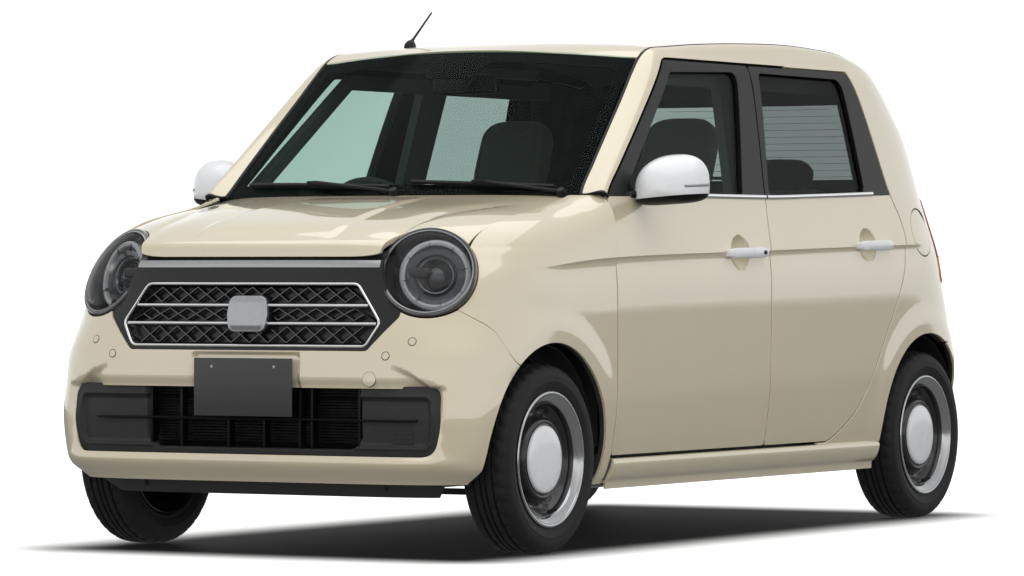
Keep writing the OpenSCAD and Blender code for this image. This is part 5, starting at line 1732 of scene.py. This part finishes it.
def rb_in(x, z):
    return .013 * sstep(-.003, .006, f_rplate(x, z)) + .014 * sstep(0, .012, f_rlow(x, z)) + .020 * (1 - sstep(.205, .255, z)) - .006 * np.exp(-((z - .600) / .022) ** 2) * (1 - sstep(.50, .60, np.abs(x))) * 0


def rb_map(f, z):
    P = tail_map(f, z, rb_in)
    P[..., 0] = P[..., 0] + np.sign(P[..., 0]) * arch_lip(P[..., 1], P[..., 2])
    return P


S = sheet(np.concatenate([steps(22, 50, .55), steps(50.75, 129.25, .9), steps(130, 158, .55)]), steps(.205, .6145, .0085), rb_map)
S = S.clip(lambda P, U: np.hypot(P[:, 1] - AXR, P[:, 2] - WZ) - ARCH)
S = S.clip(lambda P, U: P[:, 1] - QR(P[:, 2]) - .0022 - R0)
S = S.clip(lambda P, U: P[:, 1] - 1.33)
V, F, fm, N = shell(S, .020, R0)
fc = np.array([np.mean(V[list(f)], axis=0) for f in F])
fm = np.array(fm)
fm[(f_rlow(fc[:, 0], fc[:, 2]) > .006) & (fm == 0)] = 1
emit("rear_bumper_skin", V, F, [PAINT, PLASTIC], fm, N, "body", ("rear_bumper",), "body_paint")
parts = []
for s in (-1, 1):
    f = steps(90 - s * 34, 90 - s * 45, .8)
    V, F = sweep(tail_map(f, np.full_like(f, .36), -.0006), circle(.0026, 10, .0150), up=(0, 0, 1))
    parts.append((V, F, 0))
V, F, fm = merge(parts)
emit("rear_reflectors", V, F, [REDL], fm, None, "body", (), "lamp_red", sharp=50)

# ------------------------------------------------------------------ fuel flap and pocket
def flap_map(a, r):
    y, z = FLAP[0] + r * np.cos(a), FLAP[1] + r * np.sin(a)
    return side(y, z)


fs = sheet(steps(FLAP[0] - .08, FLAP[0] + .08, .008), steps(FLAP[1] - .08, FLAP[1] + .08, .008), side)
fs = fs.clip(lambda P, U: FLAP_R - .0030 - R0 - np.hypot(P[:, 1] - FLAP[0], P[:, 2] - FLAP[1]))
V, F, fm, N = shell(fs, .008, R0, lambda P, N: np.tile([-.008, 0, 0], (len(P), 1)))
emit("fuel_flap_skin", V, F, [PAINT, PLASTIC], fm, N, "fuel_flap", ("fuel_flap",), "body_paint")
V, F = revolve([(.0795, -.022), (.0795, -.060), (.0700, -.085), (.0005, -.085), (.0005, -.079), (.066, -.079), (.0745, -.058), (.0755, -.022)], 48, (.712, FLAP[0], FLAP[1]), (1, 0, 0), (0, 0, 1), closed=True)
V2, F2 = revolve([(.0005, -.042), (.024, -.043), (.030, -.048), (.031, -.079), (.0005, -.079)], 32, (.712, FLAP[0], FLAP[1]), (1, 0, 0), (0, 0, 1), closed=True)
V3, F3 = rbox((.664, FLAP[0] - .026, FLAP[1] - .005), (.678, FLAP[0] + .026, FLAP[1] + .005), .003, 2)
V, F, fm = merge([(V, F, 0), (V2, F2, 1), (V3, F3, 1)])
emit("fuel_pocket", V, F, [BLACK, PLASTIC], fm, None, "body", (), "black_plastic", sharp=40)

# ------------------------------------------------------------------ number plates (blank)
parts = []
V, F = rbox((-.165, -1.7032, .400), (.165, -1.6995, .565), .0016, 2)
parts.append((V, F, 0))
V, F = rbox((-.158, 1.6975, .402), (.158, 1.7015, .567), .0016, 2)
parts.append((V, F, 0))
for y0, y1, z0 in ((-1.7000, -1.6880, .4825), (1.6850, 1.6985, .4845)):
    V, F = rbox((-.13, y0, z0 - .05), (.13, y1, z0 + .05), .002, 1)
    parts.append((V, F, 1))
for s in (-1, 1):
    for y, ax_ in ((-1.7032, -1), (1.7015, 1)):
        V, F = revolve([(.0003, .0016), (.0035, .0014), (.0045, .0004), (.0045, -.001), (.0003, -.001)], 18, (s * .105, y, .540), (0, ax_, 0), (0, 0, 1), closed=True)
        parts.append((V, F, 2))
V, F, fm = merge(parts)
emit("blank_plates", V, F, [PLATE, PLASTIC, SATIN], fm, None, "body", ("number_plates",), "plate", sharp=35)

# ------------------------------------------------------------------ antenna
ra = roof_map(np.array([-.35 / .5475]), np.array([.15]))[0]
az = float(ROOF(-.19) - (ROOF(-.19) - ROOF_E(-.19)) * (.35 / .5475) ** 2.4)
rings = []
th = np.linspace(0, 2 * math.pi, 28, endpoint=False)
for h, k in ((-.006, 1.0), (.002, 1.0), (.006, .97), (.012, .86), (.018, .68), (.022, .46), (.0245, .22)):
    rings.append(np.stack([-.35 + .0155 * k * np.cos(th), -.190 + .010 * (1 - k) + .028 * k * np.sin(th) * np.where(np.sin(th) > 0, 1.25, .8), np.full(28, az + h)], 1))
V, F = loft(rings)
d = np.array([0, math.sin(math.radians(52)), math.cos(math.radians(52))])
p0 = np.array([-.35, -.186, az + .012])
tt = np.linspace(0, .172, 26)
rr_ = np.interp(tt, [0, .02, .03, .165, .172], [.0062, .0058, .0040, .0028, .0008])
rings = []
sd = np.array([1.0, 0, 0])
ud = np.cross(d, sd)
for t, r in zip(tt, rr_):
    rings.append(p0 + d * t + r * (np.cos(th)[:, None] * sd + np.sin(th)[:, None] * ud))
V2, F2 = loft(rings)
V, F, fm = merge([(V, F, 0), (V2, F2, 0)])
emit("roof_antenna", V, F, [BLACK], fm, None, "body", ("antenna",), "black_plastic", sharp=40)


# ------------------------------------------------------------------ cabin
def extrude_x(poly, x0, x1, r=.012, n=4):
    """Profile (y, z) drawn across the car, with its two ends rounded."""
    Q = np.asarray(poly, float)
    c = Q.mean(0)
    d = unit(Q - c)
    rings = []
    for k in range(n + 1):
        a = math.pi / 2 * k / n
        rings.append((x0 + r * (1 - math.sin(a)), r * (1 - math.cos(a)) * 0 + r * (1 - math.sin(math.pi / 2 - (math.pi / 2 - a)))))
    out = []
    for k in range(n + 1):
        a = math.pi / 2 * k / n
        out.append((x0 + r * (1 - math.cos(a)), r * (1 - math.sin(a))))
    full = out + [(x0 + x1 - x, e) for x, e in out[::-1]]
    rings = [np.stack([np.full(len(Q), x), Q[:, 0] - d[:, 0] * e, Q[:, 1] - d[:, 1] * e], 1) for x, e in full]
    return loft(rings)


# dashboard: moulded pad, instrument hood, centre screen, vents, glove box, column
dash = rounded([(-.838, .702), (-.625, .695), (-.565, .722), (-.545, .852), (-.560, .920), (-.640, .962), (-.760, .985), (-.838, .985)], [.01, .02, .03, .05, .05, .08, .06, .01], 6)
parts = []
V, F = extrude_x(dash, -.583, .583, .014, 4)
parts.append((V, F, 0))
hood = rounded([(-.735, .955), (-.590, .940), (-.565, .985), (-.585, 1.020), (-.650, 1.034), (-.735, .995)], [.01, .01, .02, .025, .03, .02], 5)
V, F = extrude_x(hood, -.485, -.135, .045, 6)
parts.append((V, F, 0))
hood2 = rounded([(-.700, .958), (-.575, .925), (-.560, .990), (-.590, 1.002), (-.690, .992)], [.01, .01, .01, .012, .02], 4)
V, F = extrude_x(hood2, -.075, .155, .010, 3)
parts.append((V, F, 0))
V, F = rbox((-.066, -.5605, .905), (.146, -.5555, .992), .003, 2)
parts.append((V, F, 1))
V, F = rbox((-.455, -.5700, .950), (-.165, -.5655, 1.000), .003, 2)
parts.append((V, F, 1))
for x0, x1 in ((-.570, -.500), (.215, .290), (.490, .570)):
    V, F = rbox((x0, -.566, .855), (x1, -.536, .905), .008, 3)
    parts.append((V, F, 2))
    for k in range(4):
        V, F = rbox((x0 + .006, -.5372, .862 + k * .0105), (x1 - .006, -.5335, .866 + k * .0105), .0008, 1)
        parts.append((V, F, 1))
V, F = rbox((.205, -.572, .735), (.555, -.537, .835), .012, 3)
parts.append((V, F, 2))
V, F = rbox((-.085, -.575, .740), (.160, -.530, .860), .012, 3)
parts.append((V, F, 2))
for k in range(3):
    V, F = revolve([(.0003, .016), (.014, .0155), (.0165, .012), (.018, .0), (.0003, .0)], 28, (-.035 + k * .072, -.530, .800), (0, 1, 0), (0, 0, 1), closed=True)
    parts.append((V, F, 1))
x = steps(-.57, .57, .03)
V, F = sweep(np.stack([x, np.full_like(x, -.5455), np.full_like(x, .8435)], 1), circle(.0030, 8), up=(0, 0, 1))
parts.append((V, F, 3))
SC, SA = np.array([-.310, -.430, .930]), unit(np.array([0, .883, .469]))
V, F = revolve([(.0003, -.022), (.030, -.022), (.038, -.040), (.046, -.120), (.046, -.190), (.0003, -.190)], 32, SC, SA, (1, 0, 0), closed=True)
parts.append((V, F, 0))
for s, l in ((1, .150), (-1, .165)):
    b = SC - SA * .075
    V, F = sweep(np.stack([b + np.array([s, 0, 0]) * .03, b + np.array([s * .09, -.01, .012]), b + np.array([s * l, -.015, .022])]), circle(.0068, 10, .0055), up=(0, 0, 1))
    parts.append((V, F, 1))
V, F, fm = merge(parts)
emit("dash_moulding", V, F, [DASH, GLOSSB, TRIMG, SATIN], fm, None, "body", ("dashboard",), "black_plastic", sharp=38)

# steering wheel
S1 = np.array([1.0, 0, 0])
S2 = np.cross(SA, S1)
th = np.linspace(0, 2 * math.pi, 96, endpoint=False)
ringc = SC + .178 * (np.cos(th)[:, None] * S1 + np.sin(th)[:, None] * S2)
V, F = sweep(ringc, circle(.0142, 18, .0132), up=tuple(SA), closed=True)
parts = [(V, F, 0)]
V, F = revolve([(.0003, .013), (.030, .012), (.048, .007), (.056, -.004), (.056, -.018), (.045, -.026), (.0003, -.026)], 48, SC - SA * .006, SA, (1, 0, 0), closed=True)
parts.append((V, F, 1))
for a in (0, math.pi, 1.5 * math.pi):
    d = math.cos(a) * S1 + math.sin(a) * S2
    if float((d @ np.array([0, 0, 1.0]))) > .5:
        d = -d
    t = np.linspace(.045, .172, 12)
    P = SC + np.outer(t, d) - np.outer(.012 * np.sin(np.linspace(0, math.pi, 12)), SA)
    V, F = sweep(P, circle(.0195, 14, .0062), up=tuple(SA))
    parts.append((V, F, 1))
    V, F = sweep(P[3:10] + SA * .0050, circle(.0085, 12, .0035), up=tuple(SA))
    parts.append((V, F, 2))
V, F, fm = merge(parts)
emit("steering_rim", V, F, [DASH, PLASTIC, SATIN], fm, None, "steering_wheel", ("steering_wheel",), "black_plastic", sharp=40)


# seats: padded cushions with bolsters and stitched seams, shaped in code
def cushion(spine, width, thick, x0, seam_x=.60, cross=(), bolster=.0, end=.055, crown=.012, n=3.4, seg=76, rows=46, face=1.0):
    P = np.asarray(spine, float)
    t = np.concatenate([[0], np.cumsum(np.hypot(*np.diff(P, axis=0).T))])
    cy, cz = Spline(list(zip(t, P[:, 0]))), Spline(list(zip(t, P[:, 1])))
    cw, ch = Curve(list(zip(t, width))), Curve(list(zip(t, thick)))
    L = t[-1]
    q = .5 - .5 * np.cos(np.linspace(.02, math.pi - .02, rows))
    q = q * L
    e = 1e-3
    th = np.linspace(0, 2 * math.pi, seg, endpoint=False)
    c, s = np.cos(th), np.sin(th)
    ex, en = np.sign(c) * np.abs(c) ** (2 / n), np.sign(s) * np.abs(s) ** (2 / n)
    rings = []
    for a in q:
        ty, tz = float(cy(a + e) - cy(a - e)), float(cz(a + e) - cz(a - e))
        l = math.hypot(ty, tz)
        ny, nz = -tz / l * face, ty / l * face
        g = min(1.0, max(0.0, (1 - max(0, 1 - a / end) ** 2.4)) ** (1 / 2.4), max(0.0, (1 - max(0, 1 - (L - a) / end) ** 2.4)) ** (1 / 2.4))
        gw = 1 - (1 - g) * .55
        w, h = float(cw(a)) * gw, float(ch(a)) * max(g, .10)
        x = ex * w
        u = np.abs(x) / max(w, 1e-6)
        d = en * h
        top = np.clip(en, 0, 1)
        d = d + top * g * (bolster * sstep(seam_x - .06, seam_x + .20, u) * (1 - sstep(.90, 1.0, u)) + crown * (1 - sstep(0, seam_x, u)))
        d = d - top * g * .0075 * np.exp(-((u - seam_x) * w / .0050) ** 2)
        for k in cross:
            d = d - top * g * .0070 * math.exp(-((a / L - k) * L / .0050) ** 2) * (1 - sstep(seam_x - .02, seam_x, u))
        d = d - .0045 * g * np.exp(-(en / .05) ** 2) * (u > .85)
        rings.append(np.stack([x0 + x, float(cy(a)) + ny * d, float(cz(a)) + nz * d], 1))
    return loft(rings)


def soft(name, V, F, m, repl=(), light=None):
    o = emit(name, V, F, m, light, None, "body", repl, "seat_cloth")
    return o


def two_tone(V, F, x0, w, seam):
    """Lighter cloth on the middle panel."""
    V = np.asarray(V)
    cx = np.array([np.mean(V[list(f), 0]) for f in F])
    return [1 if abs(c - x0) < w * seam else 0 for c in cx]


for s, nm in ((1, "left"), (-1, "right")):
    x0 = .300 * s
    V, F = cushion([(-.285, .452), (-.15, .462), (.0, .452), (.155, .432)], [.205, .218, .220, .205], [.050, .064, .066, .058], x0, .62, (.30, .62), .020, .07, .010, face=1.0)
    soft("front_seat_base_" + nm, V, F, [CLOTH, CLOTH2], ("front_seats",) if s == 1 else (), two_tone(V, F, x0, .215, .60))
    V, F = cushion([(.150, .455), (.215, .62), (.275, .82), (.330, 1.035)], [.205, .222, .218, .178], [.055, .062, .058, .044], x0, .62, (.35, .68), .024, .075, .008, face=1.0)
    soft("front_seat_back_" + nm, V, F, [CLOTH, CLOTH2], (), two_tone(V, F, x0, .215, .60))
    V, F = cushion([(.322, 1.018), (.366, 1.130), (.404, 1.222), (.428, 1.292)], [.112, .126, .124, .104], [.036, .046, .048, .040], x0, .80, (), .0, .055, .006, face=1.0)
    soft("front_seat_head_" + nm, V, F, [CLOTH], ())
    parts = []
    for dx in (-.15, .15):
        V, F = rbox((x0 + dx - .018, -.230, .2365), (x0 + dx + .018, .235, .262), .004, 2)
        parts.append((V, F, 0))
        V, F = rbox((x0 + dx - .014, -.200, .258), (x0 + dx + .014, .200, .405), .005, 2)
        parts.append((V, F, 0))
    V, F = rbox((x0 - .200, -.24, .372), (x0 + .200, .20, .404), .012, 3)
    parts.append((V, F, 1))
    V, F = rbox((x0 - s * .205 - .018, .10, .395), (x0 - s * .205 + .018, .215, .470), .010, 3)
    parts.append((V, F, 1))
    V, F, fm = merge(parts)
    emit("front_seat_frame_" + nm, V, F, [CHASSIS, PLASTIC], fm, None, "body", (), "chassis_black", sharp=40)

V, F = cushion([(.648, .470), (.76, .478), (.90, .468), (1.035, .470)], [.462, .476, .478, .462], [.055, .064, .062, .052], 0, .90, (.36, .70), .004, .07, .008, seg=120, face=1.0)
soft("rear_seat_base", V, F, [CLOTH, CLOTH2], ("rear_seat",), [1 if .05 < abs(np.mean(np.asarray(V)[list(f), 0])) < .40 else 0 for f in F])
for s, nm in ((1, "left"), (-1, "right")):
    V, F = cushion([(1.045, .505), (1.105, .70), (1.165, .90), (1.212, 1.080)], [.228, .233, .230, .212], [.050, .058, .054, .040], .239 * s, .68, (.35, .68), .012, .065, .008, face=1.0)
    soft("rear_seat_back_" + nm, V, F, [CLOTH, CLOTH2], (), two_tone(V, F, .239 * s, .23, .66))
    V, F = cushion([(1.195, 1.072), (1.215, 1.130), (1.232, 1.178)], [.112, .120, .106], [.030, .040, .034], .239 * s, .8, (), .0, .045, .005, face=1.0)
    soft("rear_seat_head_" + nm, V, F, [CLOTH], ())

# door cards, arm rests and pulls
for nm, f_d, y0, y1, a0, a1, bodies in (("front", f_front, -.79, .19, -.42, .10, ("front_door_left", "front_door_right")), ("rear", f_rear, .18, 1.14, .33, .78, ("rear_door_left", "rear_door_right"))):
    S = sheet(steps(y0 - .03, y1 + .03, .02), steps(.31, 1.020, .02), lambda y, z: np.stack([A(z) - TK - .0065 - .010 * sstep(.55, .62, z) * (1 - sstep(.70, .78, z)), y, z], -1), flip=True)
    S = S.clip(lambda P, U: f_d(P[:, 1], P[:, 2]) - .045)
    S = S.clip(lambda P, U: 1.012 - P[:, 2])
    V, F, fm, N = shell(S, .006, .002, (1, 0, 0))
    parts = [(V, F, [0 if v_ > .80 or v_ < .56 else 1 for v_ in [np.mean(V[list(f), 2]) for f in F]])]
    y = steps(a0, a1, .02)
    z = .690 + 0 * y
    V, F = sweep(np.stack([A(z) - TK - .036, y, z], 1), circle(.024, 16, .020), up=(0, 0, 1))
    parts.append((V, F, 2))
    y = steps(a0 + .02, a0 + .16, .01)
    V, F = sweep(np.stack([A(.79 + 0 * y) - TK - .014 - .016 * np.sin(np.linspace(0, math.pi, len(y))), y, .79 + 0 * y], 1), circle(.0065, 12, .009), up=(0, 0, 1))
    parts.append((V, F, 3))
    V, F, fm = merge(parts)
    pair(nm + "_door_card", (V, F, fm, None), [TRIMG, CLOTH, DASH, SATIN], bodies, slot="black_plastic", sharp=40)

# carpet, console and luggage board
parts = []
V, F = rbox((-.575, -.835, .2345), (.575, .60, .2395), .002, 1)
parts.append((V, F, 0))
V, F = rbox((-.055, -.58, .238), (.055, .30, .345), .018, 3)
parts.append((V, F, 1))
V, F = rbox((-.480, 1.100, .4570), (.480, 1.520, .4690), .004, 2)
parts.append((V, F, 0))
V, F, fm = merge(parts)
emit("cabin_floor", V, F, [CARPET, TRIMG], fm, None, "body", (), "black_plastic", sharp=40)

# dark inner walls of the wheel arches
parts = []
for s in (-1, 1):
    V, F = rbox((s * .405 - .004, -1.600, .190), (s * .405 + .004, -.862, .860), .003, 1)
    parts.append((V, F, 0))
    V, F = rbox((s * .496 - .004, .985, .200), (s * .496 + .004, 1.640, .640), .003, 1)
    parts.append((V, F, 0))
V, F, fm = merge(parts)
# The rest are dark sheets behind the gap at the front door's leading edge and at the tailgate's sides. Their dark
# colour keeps those gaps dark: painted shade, standing in partly for black seals.
for s in (-1, 1):
    for lo, hi in (((.552, -.8660, .300), (.690, -.8570, 1.005)), ((.4890, 1.020, .440), (.4960, 1.540, 1.040)), ((.4890, 1.020, 1.034), (.600, 1.470, 1.040)), ((.4930, 1.528, .440), (.632, 1.534, .905)), ((.4930, 1.494, .900), (.560, 1.500, 1.038))):
        V, F = rbox((min(s * lo[0], s * hi[0]), lo[1], lo[2]), (max(s * lo[0], s * hi[0]), hi[1], hi[2]), .002, 1)
        parts.append((V, F, 0))
V, F, fm = merge(parts)
emit("arch_inner_walls", V, F, [CHASSIS], fm, None, "body", (), "underbody", sharp=40)

# trim inside the roof's sides, behind the gap above the doors
parts = []
for s in (-1, 1):
    V, F = rbox((min(s * .529, s * .536), -.240, 1.446), (max(s * .529, s * .536), .960, 1.478), .002, 1)
    parts.append((V, F, 0))
V, F, fm = merge(parts)
emit("cant_rail_trim", V, F, [HEADLN], fm, None, "body", (), "black_plastic", sharp=40)

# black trim at the foot of the screen pillars
uu = np.linspace(-.06, 1.0, 24)
P = rail_map(np.full(24, .006), uu)
V, F = sweep(P, [(-.0085, -.0050), (-.0085, .0008), (-.0060, .0026), (.0060, .0026), (.0085, .0008), (.0085, -.0050)], up=(.55, -.1, .82))
pair("pillar_foot_trim", (V, F, [0] * len(F), None), [BLACK], slot="black_plastic", sharp=40)

# ------------------------------------------------------------------ under the bonnet
parts = []
V, F = rbox((-.320, -1.425, .776), (.050, -1.030, .826), .018, 3)
parts.append((V, F, 0))
for k in range(6):
    V, F = rbox((-.285 + k * .055, -1.395, .822), (-.262 + k * .055, -1.100, .832), .004, 2)
    parts.append((V, F, 0))
V, F = rbox((.175, -1.385, .616), (.345, -1.160, .800), .008, 3)
parts.append((V, F, 1))
V, F = rbox((.170, -1.390, .796), (.350, -1.155, .815), .006, 2)
parts.append((V, F, 0))
for y in (-1.345, -1.200):
    V, F = revolve([(.0003, .020), (.008, .0195), (.0095, .016), (.0095, 0), (.0003, 0)], 20, (.315, y, .812), (0, 0, 1), (1, 0, 0), closed=True)
    parts.append((V, F, 3))
V, F = rbox((-.500, -1.535, .330), (.500, -1.500, .800), .006, 2)
parts.append((V, F, 1))
V, F = rbox((-.515, -1.545, .792), (.515, -1.490, .822), .008, 3)
parts.append((V, F, 0))
V, F = rbox((-.385, -.985, .780), (-.285, -.905, .850), .012, 3)
parts.append((V, F, 4))
V, F = revolve([(.0003, .022), (.024, .021), (.028, .016), (.028, 0), (.0003, 0)], 28, (-.335, -.945, .848), (0, 0, 1), (1, 0, 0), closed=True)
parts.append((V, F, 0))
V, F = revolve([(.0003, .020), (.020, .019), (.024, .014), (.024, -.05), (.0003, -.05)], 28, (.420, -1.440, .800), (0, 0, 1), (1, 0, 0), closed=True)
parts.append((V, F, 4))
for pts, r in (([(-.130, -1.430, .800), (-.060, -1.455, .822), (.060, -1.462, .826), (.160, -1.452, .800), (.200, -1.440, .740), (.205, -1.430, .650)], .030),
               ([(-.260, -1.430, .720), (-.300, -1.460, .730), (-.330, -1.490, .745), (-.340, -1.510, .750)], .018),
               ([(.100, -1.060, .600), (.140, -1.000, .660), (.150, -.930, .700), (.150, -.870, .710)], .016)):
    P = np.asarray(pts, float)
    t = np.linspace(0, len(P) - 1, 40)
    C = np.stack([Spline([(i, P[i, k]) for i in range(len(P))])(t) for k in range(3)], 1)
    V, F = sweep(C, circle(r, 18), up=(.02, .03, 1))
    parts.append((V, F, 2))
V, F, fm = merge(parts)
emit("engine_bay_parts", V, F, [PLASTIC, CHASSIS, RUBBER, STEEL, TRIMG], fm, None, "body", (), "engine_metal", sharp=38)

# ------------------------------------------------------------------ parts carried over from the frame
# body_sides takes dark grey trim instead of body paint, so the panel gaps read dark: painted shade, standing in partly
# for the black seals.
for nm, m in (("floor_pan", UNDER), ("body_sides", TRIMG), ("bulkhead", CHASSIS), ("wheel_liners", CHASSIS), ("engine", ENGINE), ("front_suspension", CHASSIS),
              ("knuckle_left", CHASSIS), ("knuckle_right", CHASSIS), ("rear_axle", CHASSIS), ("fuel_tank", PLASTIC), ("exhaust", STEEL)):
    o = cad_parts[nm]
    for k in range(len(o.material_slots)):
        o.material_slots[k].material = m
